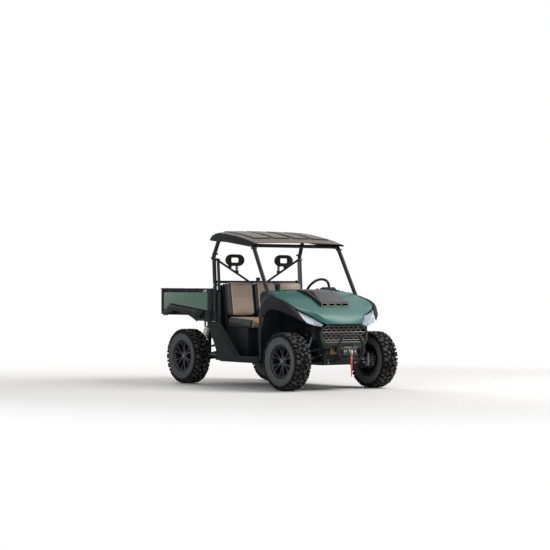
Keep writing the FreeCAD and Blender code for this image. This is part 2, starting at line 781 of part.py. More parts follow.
def dashboard():
    """Instrument panel with its pod, glove box face and the cowl up to the bonnet's rear edge."""
    half = dash_half_width
    outline = [(690.0, 1176.0), (620.0, 1192.0), (540.0, 1188.0), (494.0, 1150.0), (486.0, 1080.0),
               (520.0, 985.0), (560.0, dash_foot_z), (690.0, dash_foot_z)]
    body = prism(outline, "y", -half, half)
    pod_y = wheel_hub.y
    pod = prism([(492.0, 1150.0), (500.0, 1222.0), (560.0, 1240.0), (620.0, 1190.0)], "y",
                pod_y - 95.0, pod_y + 95.0)
    cowl_rows = []
    for back in (95.0, 0.0):
        line = []
        for share in [k / 6 for k in range(-6, 7)]:
            x, z = hood_rear(abs(share))
            reach = back * (1 + 0.4 * abs(share))
            line.append(Vector(x - panel_gap - reach, share * cowl_half, z + 1.0 + back * 0.08))
        cowl_rows.append(line)
    cowl = sheet(cowl_rows, 14.0)
    for side in (-1, 1):
        y0, y1 = sorted((side * (hood_hinge_y - 27.0), side * (hood_hinge_y + 27.0)))
        cowl = cowl.cut(box(hood_hinge_x - 14.0, hood_hinge_x + 60.0, y0, y1, hood_hinge_z - 40.0,
                            hood_hinge_z + 20.0))
    whole = fuse([body, pod, cowl])
    axis = column_axis()
    pocket = rod(wheel_hub + axis * 100.0, wheel_hub + axis * (column_length + seat_gap),
                 column_radius + seat_gap)
    whole = whole.cut(pocket)
    pins = []
    for side in (-1, 1):
        for ear_y in (hood_hinge_y - 23.5, hood_hinge_y + 23.5):
            y0, y1 = sorted((side * (ear_y - 2.5), side * (ear_y + 2.5)))
            pins.append(box(hood_hinge_x - 30.0, hood_hinge_x + 7.0, y0, y1, hood_hinge_z - 22.0,
                            hood_hinge_z + 7.0))
        pins.append(rod(Vector(hood_hinge_x, side * (hood_hinge_y - 22.0), hood_hinge_z),
                        Vector(hood_hinge_x, side * (hood_hinge_y + 22.0), hood_hinge_z), hood_pin_radius))
    return fuse([whole] + pins)


def column_axis():
    tilt = math.radians(wheel_tilt)
    return Vector(math.cos(tilt), 0, -math.sin(tilt))


def steering_column():
    """Column into the dash, and the housing that the rack slides in."""
    axis = column_axis()
    column = rod(wheel_hub + axis * 26.0, wheel_hub + axis * column_length, column_radius)
    shaft = rod(wheel_hub + axis * 4.0, wheel_hub + axis * 40.0, column_pin_radius)
    rack_x = front_axle_x - steer_arm
    housing = rod(Vector(rack_x, -rack_housing_half, rack_z), Vector(rack_x, rack_housing_half, rack_z),
                  rack_housing_radius)
    bore = rod(Vector(rack_x, -rack_housing_half - 1.0, rack_z),
               Vector(rack_x, rack_housing_half + 1.0, rack_z), rack_radius + running_gap)
    return Part.makeCompound([column.fuse(shaft).removeSplitter(), housing.cut(bore)])


def steering_wheel():
    axis = column_axis()
    ring = Part.makeTorus(wheel_ring_radius, wheel_rim_radius, Vector(0, 0, 0), Vector(0, 0, 1))
    hub = Part.makeCylinder(34.0, 46.0, Vector(0, 0, -22.0), Vector(0, 0, 1))
    pieces = [ring, hub]
    for turn in (0.0, 180.0, 270.0):
        spoke = box(20.0, wheel_ring_radius, -16.0, 16.0, -8.0, 8.0)
        spoke.rotate(Vector(0, 0, 0), Vector(0, 0, 1), turn)
        pieces.append(spoke)
    wheel = fuse(pieces)
    wheel.rotate(Vector(0, 0, 0), Vector(0, 0, 1), 90.0)
    wheel.rotate(Vector(0, 0, 0), Vector(0, 1, 0), 90.0 + wheel_tilt)
    wheel.translate(wheel_hub)
    bore = rod(wheel_hub + axis * 2.0, wheel_hub + axis * 60.0, column_pin_radius + running_gap)
    clear = rod(wheel_hub + axis * 25.0, wheel_hub + axis * 60.0, 60.0)
    return wheel.cut(bore).cut(clear)


def steering_rack():
    """Rack bar and tie rods in line, with an eye under each steering lever."""
    x = front_axle_x - steer_arm
    bar = rod(Vector(x, -tie_rod_y + 60.0, rack_z), Vector(x, tie_rod_y - 60.0, rack_z), rack_radius)
    eyes = [rod(Vector(x, side * tie_rod_y, rack_z - 10.0), Vector(x, side * tie_rod_y, rack_z + 9.5), 15.0)
            for side in (-1, 1)]
    tips = [rod(Vector(x, side * (tie_rod_y - 62.0), rack_z), Vector(x, side * tie_rod_y, rack_z), 8.0)
            for side in (-1, 1)]
    return fuse([bar] + eyes + tips)


# Hood sections from rear to front: middle x and z, crease x, y and z, side foot x, y and z
hood_sections = [
    (700.0, 1203.0, 735.0, 640.0, 1172.0, 732.0, 648.0, 1140.0),
    (800.0, 1180.0, 818.0, 625.0, 1152.0, 816.0, 649.0, 1130.0),
    (900.0, 1150.0, 912.0, 604.0, 1126.0, 912.0, 650.0, 1108.0),
    (1000.0, 1116.0, 1006.0, 572.0, 1090.0, 1004.0, 648.0, 1088.0),
    (1092.0, 1074.0, 1094.0, 522.0, 1040.0, 1096.0, 638.0, 1058.0),
    (1160.0, 1038.0, 1156.0, 482.0, 1008.0, 1160.0, 626.0, 1024.0),
    (1225.0, 998.0, 1212.0, 441.0, 980.0, 1205.0, 588.0, 986.0),
    (1280.0, 962.0, 1262.0, 402.0, 954.0, 1226.0, 534.0, 950.0),
    (1332.0, 922.0, 1308.0, 362.0, 925.0, 1262.0, 448.0, 908.0),
    (1376.0, 882.0, 1348.0, 324.0, 893.0, 1304.0, 380.0, 866.0),
    (1408.0, 840.0, 1372.0, 286.0, 850.0, 1352.0, 326.0, 822.0),
    (1426.0, 797.0, 1392.0, 250.0, 800.0, 1394.0, 257.0, 794.0),
]


def hood_rear(share):
    """The bonnet's rear edge at a share of its half width."""
    mx, mz, cx, cy, cz, *foot = hood_sections[0]
    return mx + (cx - mx) * share ** 2, mz + (cz - mz) * share ** 2.4


def hood_height(x):
    return blend([(s[0], s[1]) for s in hood_sections], x)


def hood_panel():
    """Bonnet skin: a crowned top, a crease on each side and a short side face below it."""
    rows = []
    for mx, mz, cx, cy, cz, fx, fy, fz in hood_sections:
        line = []
        for share in (0.0, 0.18, 0.36, 0.54, 0.7, 0.84, 0.94, 1.0):
            line.append(Vector(mx + (cx - mx) * share ** 2, share * cy, mz + (cz - mz) * share ** 2.4))
        line.append(Vector((cx + fx) / 2, (cy + fy) / 2 + 3.0, (cz + fz) / 2))
        line.append(Vector(fx, fy, fz))
        right = [Vector(p.x, -p.y, p.z) for p in reversed(line[1:])]
        rows.append(right + line)
    skin = sheet(rows, shell_thickness)
    pieces = [skin]
    for side in (-1, 1):
        y0 = side * (hood_hinge_y - 20.0)
        y1 = side * (hood_hinge_y + 20.0)
        pieces.append(rod(Vector(hood_hinge_x, y0, hood_hinge_z), Vector(hood_hinge_x, y1, hood_hinge_z), 7.0))
        a, b = sorted((y0, y1))
        pieces.append(box(hood_hinge_x, hood_hinge_x + 24.0, a, b, hood_hinge_z - 12.0, hood_hinge_z - 4.0))
    hood = fuse(pieces)
    for side in (-1, 1):
        hood = hood.cut(rod(Vector(hood_hinge_x, side * (hood_hinge_y - 30.0), hood_hinge_z),
                            Vector(hood_hinge_x, side * (hood_hinge_y + 30.0), hood_hinge_z),
                            hood_pin_radius + running_gap))
    return hood


def hood_scoop():
    """Raised black air scoop on the bonnet with a row of slots in its front face."""
    lift = 1.3
    xs = [scoop_rear_x] + [s[0] for s in hood_sections[1:6]] + [scoop_front_x]
    base = [(x, hood_height(x) + lift) for x in xs]
    outline = base + [(scoop_front_x, scoop_front_top_z), (scoop_knee_x, scoop_knee_z),
                      (scoop_rear_x, scoop_rear_z)]
    body = prism(outline, "y", -scoop_half, scoop_half)
    hollow_top = [(scoop_front_x + 1.0, scoop_front_top_z - 7.0), (scoop_knee_x, scoop_knee_z - 7.0),
                  (scoop_rear_x + 60.0, scoop_rear_z - 16.0)]
    hollow_foot = [(x, z + 3.0) for x, z in base[2:]] + [(scoop_front_x + 1.0, base[-1][1] + 3.0)]
    hollow = prism(hollow_foot + hollow_top, "y", -scoop_half + 8.0, scoop_half - 8.0)
    face_z = (base[-1][1] + scoop_front_top_z) / 2
    back_x = scoop_front_x - 8.0
    face = prism([(back_x, hood_height(back_x) + lift), base[-1], (scoop_front_x, scoop_front_top_z - 3.0),
                  (back_x, scoop_front_top_z - 3.0)], "y", -scoop_half + 7.0, scoop_half - 7.0)
    whole = body.cut(hollow).fuse(face).removeSplitter()
    pitch = 2 * scoop_half / scoop_slots
    for k in range(scoop_slots):
        y = -scoop_half + pitch * (k + 0.5)
        whole = whole.cut(box(scoop_front_x - 12.0, scoop_front_x + 2.0, y - pitch * 0.42, y + pitch * 0.42,
                              face_z - 17.0, face_z + 15.0))
    return whole


# Front fender sections from the sill to the headlight: outer edge x, y, z, then arch lip x, y, z
fender_sections = [
    (664.0, 738.0, 341.0, 704.0, 742.0, 341.0),
    (645.0, 738.0, 600.0, 702.0, 746.0, 600.0),
    (640.0, 738.0, 777.0, 714.0, 748.0, 777.0),
    (655.0, 736.0, 960.0, 745.0, 750.0, 893.0),
    (684.0, 715.0, 1080.0, 800.0, 750.0, 935.0),
    (724.0, 664.0, 1143.0, 862.0, 750.0, 966.0),
    (830.0, 662.0, 1127.0, 930.0, 748.0, 980.0),
    (912.0, 662.0, 1108.0, 990.0, 745.0, 976.0),
    (1000.0, 660.0, 1088.0, 1060.0, 742.0, 962.0),
    (1088.0, 652.0, 1062.0, 1121.0, 734.0, 950.0),
    (1150.0, 641.0, 1030.0, 1168.0, 712.0, 930.0),
    (1192.0, 614.0, 992.0, 1205.0, 684.0, 910.0),
    (1232.0, 593.0, 944.0, 1245.0, 645.0, 884.0),
    (1268.0, 578.0, 892.0, 1282.0, 598.0, 850.0),
    (1300.0, 562.0, 845.0, 1312.0, 566.0, 826.0),
]


def front_fenders():
    rows = []
    for tx, ty, tz, lx, ly, lz in reversed(fender_sections):
        top = Vector(tx, ty, tz)
        lip = Vector(lx, ly, lz)
        bulge = Vector(0, 8.0, 0.4 * (tz - lz)) if tz > 800.0 else Vector(0, 6.0, 0)
        upper = top + (lip - top) * 0.3 + bulge * 0.8
        crease = top + (lip - top) * 0.62 + bulge
        rows.append([lip, crease, upper, top])
    skin = sheet(rows, shell_thickness)
    hole = bent_rod(cage_side()[:4], cage_radius + 6.0, cage_bend)
    return pair(skin.cut(hole))


def wheel_liners():
    """Inner arch of each front wheel, from the fender's lip in to the chassis."""
    rows = []
    for tx, ty, tz, lx, ly, lz in reversed(fender_sections[:-3]):
        forward = 9.0 if lz < 900.0 and lx < 800.0 else 2.0
        drop = 0.0 if lz < 800.0 else 8.2 if lx < 1150.0 else 22.0
        rows.append([Vector(lx + forward, ly - 7.4, lz - drop), Vector(lx + forward, 600.0, lz - drop + 4.0),
                     Vector(lx + forward, liner_inner_y, lz - drop + 6.0)][::-1])
    return pair(sheet(rows, 4.0))


# Front end
fascia_outer = [(252.0, 786.0), (340.0, 745.5), (373.0, 702.0), (362.0, 600.0), (305.0, 500.0)]
grille_outline = [(236.0, 776.0), (322.0, 735.0), (332.0, 700.0), (326.0, 620.0), (285.0, 575.0)]


def closed(outline):
    return outline + [(-a, b) for a, b in reversed(outline)]


def front_fascia():
    ring = prism(closed(fascia_outer), "x", fascia_rear_x, fascia_front_x)
    return ring.cut(prism(closed(grille_outline), "x", fascia_rear_x - 1.0, fascia_front_x + 1.0))


def hexagon(y, z, radius, x0, x1):
    turns = [math.pi / 3 * k for k in range(6)]
    corners = [(y + radius * math.sin(turn), z + radius * math.cos(turn)) for turn in turns]
    return prism(corners, "x", x0, x1)


def grille():
    """Hexagon mesh with two cross bars, inset in the fascia."""
    x0 = fascia_front_x - grille_inset - grille_thickness
    x1 = fascia_front_x - grille_inset
    shrunk = [(a - 0.5, b - (0.4 if b > 700.0 else -0.4)) for a, b in grille_outline]
    plate = prism(closed(shrunk), "x", x0, x1)
    z = 598.0
    row = 0
    holes = []
    while z < 762.0:
        limit = blend([(575.0, 275.0), (620.0, 308.0), (735.0, 308.0), (776.0, 228.0)], z) - hex_radius
        count = int(limit // hex_pitch)
        shift = hex_pitch / 2 if row % 2 else 0.0
        for k in range(-count - 1, count + 2):
            y = k * hex_pitch + shift
            if abs(y) <= limit:
                holes.append(hexagon(y, z, hex_radius, x0 - 1.0, x1 + 1.0))
        z += hex_pitch * 0.866
        row += 1
    plate = plate.cut(Part.makeCompound(holes))
    bars = [box(x0, x1 + 10.0, -half, half, z - 5.0, z + 5.0) for z, half in ((705.0, 322.0), (640.0, 322.0))]
    return fuse([plate] + bars)


def headlights():
    """Long pointed lamps under the bonnet's edge: upper edge then lower edge, tip to grille."""
    # Upper x, y, z; lower x, y, z
    sections = [
        (1216.0, 586.0, 958.0, 1224.0, 593.0, 950.0),
        (1226.0, 543.0, 934.0, 1252.0, 577.0, 920.0),
        (1254.0, 455.0, 898.0, 1292.0, 553.0, 858.0),
        (1289.0, 392.0, 863.0, 1328.0, 523.0, 812.0),
        (1334.0, 340.0, 821.0, 1352.0, 436.0, 783.0),
        (1366.0, 300.0, 789.0, 1370.0, 350.0, 764.0),
    ]
    rows = []
    for ux, uy, uz, lx, ly, lz in sections:
        upper = Vector(ux, uy, uz)
        lower = Vector(lx, ly, lz)
        middle = (upper + lower) * 0.5 + Vector(7.0, 5.0, 4.0)
        rows.append([upper, middle, lower])
    # A peg square to the fascia's sloping shoulder carries the lamp's inner end
    (y0, z0), (y1, z1) = fascia_outer[:2]
    way = Vector(0, z0 - z1, y1 - y0).normalize()
    seat = Vector(lamp_peg_x, y0 * 0.42 + y1 * 0.58, z0 * 0.42 + z1 * 0.58)
    peg = rod(seat + way * seat_gap, seat + way * 26.0, lamp_peg_radius)
    return pair(fuse([sheet(rows, lamp_depth), peg]))


def bull_bar():
    """Front hoop on two struts from the frame, with its lower cross bar."""
    x = bar_x
    side = [(148.0, 372.0), (212.0, 488.0), (128.0, 667.0)]
    corners = side + [(-y, z) for y, z in reversed(side)]
    hoop = bent_rod([Vector(x, y, z) for y, z in corners], bar_radius, 60.0)
    cross = rod(Vector(x - 6.0, -150.0, 376.0), Vector(x - 6.0, 150.0, 376.0), bar_radius - 3.0)
    pieces = [hoop, cross]
    for side in (-1, 1):
        start = Vector(x, side * 150.0, 380.0)
        plate_x = rail_front_x + 30.0 + seat_gap
        end = Vector(plate_x + 5.0, side * 190.0, 345.0)
        pieces.append(rod(end, start, bar_radius - 2.0))
        y0, y1 = sorted((side * 165.0, side * 225.0))
        pieces.append(box(plate_x, plate_x + 8.0, y0, y1, 315.0, 378.0))
    return fuse(pieces)


def winch():
    """Drum between its gear case and motor, on a deck plate, with the fairlead in front."""
    deck = box(rail_front_x - 4.0, 1495.0, -135.0, 135.0, winch_deck_z, winch_deck_z + 6.0)
    z = winch_deck_z + 62.0
    x = 1442.0
    drum = rod(Vector(x, -115.0, z), Vector(x, 115.0, z), 32.0)
    case = box(x - 40.0, x + 34.0, 70.0, 130.0, winch_deck_z + 3.0, z + 45.0)
    motor = rod(Vector(x, -130.0, z), Vector(x, -60.0, z), 42.0)
    foot = box(x - 30.0, x + 30.0, -120.0, -70.0, winch_deck_z + 3.0, z)
    lead = box(1489.0, 1495.0, -100.0, 100.0, winch_deck_z + 3.0, 512.0)
    slot = box(1480.0, 1500.0, -52.0, 52.0, 464.0, 488.0)
    return fuse([deck, drum, case, motor, foot, lead.cut(slot)])


def winch_hook():
    """Forged hook hard up against the fairlead."""
    stem = rod(Vector(1495.0 + seat_gap, 0, 476.0), Vector(1520.0, 0, 476.0), 10.0)
    centre = Vector(front_x - hook_ring - hook_bar, 0, 452.0)
    ring = Part.makeTorus(hook_ring, hook_bar, centre, Vector(0, 1, 0))
    stopper = rod(Vector(1495.0 + seat_gap, 0, 476.0), Vector(1503.0, 0, 476.0), 18.0)
    neck = rod(Vector(1516.0, 0, 476.0), Vector(1530.0, 0, 470.0), 9.0)
    return fuse([stopper, stem, neck, ring])


def hook_strap():
    """Short webbing pull strap hanging from the hook."""
    x = front_x - hook_ring - hook_bar
    top = 452.0 - hook_ring - hook_bar - seat_gap
    return box(x - 2.0, x + 2.0, -13.0, 13.0, strap_foot_z, top)


# Bed
def bed_tub():
    inner = bed_inner_half
    wall = bed_wall
    tub = box(bed_floor_rear_x, bed_front_x, -inner - wall, inner + wall, bed_floor_z, bed_top_z - 24.0)
    tub = tub.cut(box(bed_floor_rear_x - 1.0, bed_front_x - wall, -inner, inner, bed_floor_z + wall, bed_top_z))
    rib_y = rail_y + rail_width / 2 - post_size / 2
    pieces = [tub]
    for side in (-1, 1):
        pieces.append(box(bed_hinge_x - 15.0, bed_front_x - 20.0, side * rib_y - 8.0, side * rib_y + 8.0,
                          bed_rail_top_z + seat_gap, bed_floor_z + 1.0))
    tub = fuse(pieces)
    bore = rod(Vector(bed_hinge_x, -rail_y - 40.0, bed_hinge_z),
               Vector(bed_hinge_x, rail_y + 40.0, bed_hinge_z), bed_pin_radius + running_gap)
    return tub.cut(bore)


def bed_rails():
    """Black side structure of the bed: wall, top rail, corner posts and the tie-down band."""
    y0 = bed_inner_half + bed_wall + seat_gap
    y1 = bed_skin_y - 10.0
    rear = bed_rear_x + 10.0
    outline = [(rear, bed_top_z - 2.0), (bed_front_x, bed_top_z - 2.0), (bed_front_x, 925.0),
               (-654.0, 905.0), (-879.0, 925.0), (-1200.0, 960.0), (-1300.0, 905.0), (-1327.0, 872.0),
               (-1515.0, 872.0), (rear, 900.0)]
    wall = prism(outline, "y", y0, y1)
    cap = box(bed_rear_x, bed_front_x, y0, bed_outer_half, bed_top_z - rail_cap, bed_top_z)
    front_post = box(bed_post_front_x, bed_front_x, y1 - 1.0, bed_outer_half, 925.0, bed_top_z - 1.0)
    rear_post = box(rear, bed_post_rear_x, y1 - 1.0, bed_outer_half, 880.0, bed_top_z - 1.0)
    pieces = [wall, cap, front_post, rear_post]
    for x in (-1290.0, -960.0, -600.0):
        pieces.append(prism([(x, 1167.0), (x + 40.0, 1167.0), (x + 66.0, bed_top_z - 10.0),
                             (x + 26.0, bed_top_z - 10.0)], "y", y1 - 1.0, bed_skin_y - 2.0))
    pieces.append(rod(Vector(tailgate_hinge_x, bed_inner_half - 12.0, tailgate_hinge_z),
                      Vector(tailgate_hinge_x, y0 + 4.0, tailgate_hinge_z), tailgate_pin_radius))
    return pair(fuse(pieces))


def bed_side_panels():
    rear = bed_post_rear_x + seat_gap
    front = bed_post_front_x - seat_gap
    outline = [(rear, 1164.0), (front, 1166.0), (front, 937.0), (-1328.0, 1020.0), (-1402.0, 968.0),
               (-1440.0, 946.0), (rear, 944.0)]
    return pair(prism(outline, "y", bed_skin_y - 10.0 + seat_gap, bed_skin_y))


# Rear arch flare sections from rear to front: upper x and z, lip x and z
flare_sections = [
    (-1436.0, 932.0, -1425.0, 868.0),
    (-1392.0, 962.0, -1335.0, 868.0),
    (-1330.0, 1004.0, -1268.0, 905.0),
    (-1180.0, 989.0, -1190.0, 934.0),
    (-1000.0, 971.0, -1030.0, 914.0),
    (-850.0, 956.0, -880.0, 888.0),
    (-700.0, 941.0, -745.0, 838.0),
    (-560.0, 927.0, -654.0, 796.0),
]


def bed_flares():
    rows = []
    for tx, tz, lx, lz in flare_sections:
        wall = Vector(tx, bed_skin_y - 10.0 + seat_gap, tz)
        top = Vector(tx, bed_skin_y + 12.0, tz)
        ridge = Vector(tx + (lx - tx) * 0.35, flare_y - 6.0, tz + (lz - tz) * 0.35)
        lip = Vector(lx, flare_y, lz)
        rows.append([wall, top, ridge, lip])
    return pair(sheet(rows[::-1], 6.0))


def tail_lights():
    x = bed_rear_x + 10.0 - seat_gap
    y = bed_inner_half + bed_wall
    return pair(box(x - 8.0, x, y + 6.0, y + 48.0, 980.0, 1110.0))


def tailgate():
    half = bed_inner_half + bed_wall - panel_gap
    x0 = tailgate_hinge_x - tailgate_thickness / 2
    x1 = tailgate_hinge_x + tailgate_thickness / 2
    gate = box(x0, x1, -half, half, tailgate_hinge_z - 11.0, bed_top_z - 20.0)
    for side in (-1, 1):
        gate = gate.cut(rod(Vector(tailgate_hinge_x, side * (bed_inner_half - 13.0), tailgate_hinge_z),
                            Vector(tailgate_hinge_x, side * (half + 1.0), tailgate_hinge_z),
                            tailgate_pin_radius + running_gap))
    return gate


def save(name, shape):
    shape.exportStep(os.path.join("parts", name + ".step"))


os.makedirs("parts", exist_ok=True)
nodes = {
    "main_frame": main_frame(),
    "skid_plate": skid_plate(),
    "engine_block": engine_block(),
    "muffler": muffler(),
    "hitch_receiver": hitch_receiver(),
    "drive_units": drive_units(),
    "suspension_arms": suspension_arms(),
    "shocks": shocks(),
    "half_shafts": half_shafts(),
    "rear_knuckles": pair(knuckle(rear_axle_x, False)),
    "roll_cage": roll_cage(),
    "roof": roof(),
    "footwell_tub": footwell_tub(),
    "seat_base": seat_base(),
    "seat_backs": seat_backs(),
    "seat_cushions": seat_cushions(),
    "head_restraints": head_restraints(),
    "seat_belts": seat_belts(),
    "rear_cab_panel": rear_cab_panel(),
    "side_panels": side_panels(),
    "dashboard": dashboard(),
    "steering_column": steering_column(),
    "front_fenders": front_fenders(),
    "wheel_liners": wheel_liners(),
    "front_fascia": front_fascia(),
    "grille": grille(),
    "headlights": headlights(),
    "bull_bar": bull_bar(),
    "winch": winch(),
    "winch_hook": winch_hook(),
    "hook_strap": hook_strap(),
    "hood_panel": hood_panel(),
    "hood_scoop": hood_scoop(),
    "bed_tub": bed_tub(),
    "bed_rails": bed_rails(),
    "bed_side_panels": bed_side_panels(),
    "bed_flares": bed_flares(),
    "tail_lights": tail_lights(),
    "tailgate": tailgate(),
    "steering_wheel": steering_wheel(),
    "steering_rack": steering_rack(),
    "knuckle_left": knuckle(front_axle_x, True),
    "knuckle_right": mirrored(knuckle(front_axle_x, True)),
}
for end, axle_x in (("front", front_axle_x), ("rear", rear_axle_x)):
    for name, side in (("left", 1), ("right", -1)):
        nodes["rim_%s_%s" % (end, name)] = rim(axle_x, side)
        nodes["tyre_%s_%s" % (end, name)] = tyre(axle_x, side)
for name, shape in nodes.items():
    save(name, shape)
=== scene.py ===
import math

import bmesh
import bpy
from mathutils import Matrix, Vector
from mathutils.bvhtree import BVHTree


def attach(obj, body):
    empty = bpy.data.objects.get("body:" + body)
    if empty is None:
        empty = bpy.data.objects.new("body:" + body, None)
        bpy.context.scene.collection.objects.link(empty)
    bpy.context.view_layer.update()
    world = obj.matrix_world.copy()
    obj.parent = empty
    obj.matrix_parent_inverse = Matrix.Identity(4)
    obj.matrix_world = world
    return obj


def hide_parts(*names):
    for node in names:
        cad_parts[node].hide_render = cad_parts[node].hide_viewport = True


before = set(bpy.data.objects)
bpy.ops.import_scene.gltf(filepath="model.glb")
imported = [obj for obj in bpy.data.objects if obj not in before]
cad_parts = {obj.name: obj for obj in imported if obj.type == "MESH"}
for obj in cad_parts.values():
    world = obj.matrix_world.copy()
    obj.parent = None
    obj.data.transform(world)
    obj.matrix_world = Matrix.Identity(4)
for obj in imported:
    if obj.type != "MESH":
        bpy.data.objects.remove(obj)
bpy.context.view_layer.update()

# Studio: the vehicle stands on a pale floor that fades into a white surround.
# One large lamp over its left front corner gives the sheen, two weaker ones open the shadows.


class Signal:
    """A shader socket that adds its own Math nodes when it stands in an expression."""

    def __init__(self, nodes, socket):
        self.nodes = nodes
        self.socket = socket

    def maths(self, operation, other=0.0):
        return self.nodes.node("ShaderNodeMath", {"operation": operation}, {0: self, 1: other})

    def __add__(self, other):
        return self.maths("ADD", other)

    def __sub__(self, other):
        return self.maths("SUBTRACT", other)

    def __rsub__(self, other):
        return self.nodes.node("ShaderNodeMath", {"operation": "SUBTRACT"}, {0: other, 1: self})

    def __mul__(self, other):
        return self.maths("MULTIPLY", other)

    __radd__ = __add__
    __rmul__ = __mul__

    def between(self, low, high):
        """0 below low, 1 above high, smooth in between."""
        return self.nodes.node("ShaderNodeMapRange", {"interpolation_type": "SMOOTHSTEP"},
                               {"Value": self, "From Min": low, "From Max": high})


class Nodes:
    """The node tree of a material or of the world."""

    def __init__(self, tree):
        self.tree = tree

    def node(self, kind, settings=None, sockets=None, output=0):
        """Adds a node, sets it up, fills its sockets with values or links, and gives one output."""
        node = self.tree.nodes.new(kind)
        for key, value in (settings or {}).items():
            setattr(node, key, value)
        for key, value in (sockets or {}).items():
            self.feed(node.inputs[key], value)
        return Signal(self, node.outputs[output])

    def feed(self, socket, value):
        if isinstance(value, Signal):
            self.tree.links.new(value.socket, socket)
        else:
            socket.default_value = value


class Finish(Nodes):
    """One material: a Principled shader whose varying sockets are fed by signals."""

    def __init__(self, name, color, roughness, **fixed):
        self.material = bpy.data.materials.new(name)
        self.material.use_nodes = True
        super().__init__(self.material.node_tree)
        self.shader = self.tree.nodes["Principled BSDF"]
        self.color = (*color, 1.0)
        self.set("Base Color", self.color)
        self.set("Roughness", roughness)
        for socket, value in fixed.items():
            self.set(socket.replace("_", " "), value)

    def set(self, socket, value):
        self.feed(self.shader.inputs[socket], value)

    def place(self, stretch=(1.0, 1.0, 1.0)):
        """Object coordinates, stretched for a pattern."""
        spot = self.node("ShaderNodeTexCoord", output="Object")
        return self.node("ShaderNodeMapping", None, {"Vector": spot, "Scale": stretch})

    def axis(self, name):
        return self.node("ShaderNodeSeparateXYZ", None, {0: self.place()}, name)

    def noise(self, scale, detail=3.0, stretch=(1.0, 1.0, 1.0)):
        return self.node("ShaderNodeTexNoise", None,
                         {"Vector": self.place(stretch), "Scale": scale, "Detail": detail})

    def cells(self, scale):
        return self.node("ShaderNodeTexVoronoi", None, {"Vector": self.place(), "Scale": scale}, "Distance")

    def stripes(self, scale, direction="Z"):
        return self.node("ShaderNodeTexWave", {"bands_direction": direction},
                         {"Vector": self.place(), "Scale": scale}, "Fac")

    def mix(self, share, first, second):
        """Two colours mixed by a signal from 0 to 1."""
        return self.node("ShaderNodeMix", {"data_type": "RGBA"}, {0: share, 6: first, 7: second}, 2)

    def relief(self, height, depth, strength=1.0):
        """Bumps the surface by a height signal, depth in metres."""
        self.set("Normal", self.node("ShaderNodeBump", None,
                                     {"Height": height, "Distance": depth, "Strength": strength}))

    def tint(self, share, other):
        """Feeds the base colour with this finish's own colour mixed towards another."""
        self.set("Base Color", self.mix(share, self.color, (*other, 1.0)))

    def stain(self, share, other, scale, detail, low, high):
        """Tints the spots where a noise lies above low, fully above high."""
        self.tint(self.noise(scale, detail).between(low, high) * share, other)

    def wear(self, scale, spread, least, detail=3.0):
        """Lets a noise move the roughness by a spread above its least value."""
        self.set("Roughness", self.noise(scale, detail) * spread + least)


floor_finish = Finish("studio_floor", (0.80, 0.80, 0.80), 0.9)
spot = floor_finish.node("ShaderNodeTexCoord", output="Object")
far = floor_finish.node("ShaderNodeVectorMath", {"operation": "LENGTH"}, {0: spot}, "Value")
glow = floor_finish.node("ShaderNodeEmission", None, {"Color": (1.0, 1.0, 1.0, 1.0), "Strength": 1.0})
floor_look = floor_finish.node("ShaderNodeMixShader", None, {
    0: far.between(2.6, 7.5), 1: Signal(floor_finish, floor_finish.shader.outputs[0]), 2: glow})
floor_finish.feed(floor_finish.tree.nodes["Material Output"].inputs["Surface"], floor_look)
floor_bm = bmesh.new()
bmesh.ops.create_circle(floor_bm, cap_ends=True, segments=96, radius=60.0,
                        matrix=Matrix.Translation((0.0, 0.0, -0.001)))
floor_mesh = bpy.data.meshes.new("floor")
floor_bm.to_mesh(floor_mesh)
floor_mesh.materials.append(floor_finish.material)
floor = bpy.data.objects.new("floor", floor_mesh)
bpy.context.scene.collection.objects.link(floor)

surround = bpy.data.worlds.new("surround")
bpy.context.scene.world = surround
surround.use_nodes = True
sky = Nodes(surround.node_tree)
camera_ray, clear_ray, glossy_ray = (sky.node("ShaderNodeLightPath", output="Is %s Ray" % kind)
                                     for kind in ("Camera", "Transmission", "Glossy"))
seen = camera_ray.maths("MAXIMUM", clear_ray).maths("MAXIMUM", glossy_ray)
backdrop = sky.tree.nodes["Background"].inputs
sky.feed(backdrop["Strength"],
         sky.node("ShaderNodeMapRange", None, {"Value": seen, "To Min": 0.26, "To Max": 1.0}))
sky.feed(backdrop["Color"], (1.0, 1.0, 1.0, 1.0))

# Lamp name, place, size, power and colour
for name, place, size, power, color in (
        ("key_lamp", (4.5, 4.5, 7.0), 5.5, 700.0, (1.0, 0.98, 0.95)),
        ("side_lamp", (3.5, -8.0, 3.2), 4.5, 160.0, (0.93, 0.97, 1.0)),
        ("rear_lamp", (-7.0, 1.0, 5.5), 4.0, 300.0, (1.0, 0.98, 0.95))):
    light = bpy.data.lights.new(name, "AREA")
    light.size = size
    light.energy = power
    light.color = color
    lamp = bpy.data.objects.new(name, light)
    lamp.location = place
    lamp.rotation_euler = (Vector((0.0, 0.0, 0.8)) - Vector(place)).to_track_quat("-Z", "Y").to_euler()
    bpy.context.scene.collection.objects.link(lamp)

lens = bpy.data.cameras.new("camera")
lens.lens = 121.83
camera = bpy.data.objects.new("camera", lens)
camera.location = (18.8059, -14.1978, 1.2696)
camera.rotation_euler = (1.575923, -0.003921, 0.924175)
bpy.context.scene.collection.objects.link(camera)
bpy.context.scene.camera = camera
bpy.context.scene.view_settings.view_transform = "Standard"

# Ladder frame: square steel tube, welded and powder coated, with the shock towers and the rails
# that the bed tilts on. The receiver tube and the skid plate are bolted under it.


def bevelled(bm, edges, width, segments=2):
    bmesh.ops.bevel(bm, geom=edges, offset=width, segments=segments, profile=0.5, affect="EDGES",
                    clamp_overlap=True, material=-1)


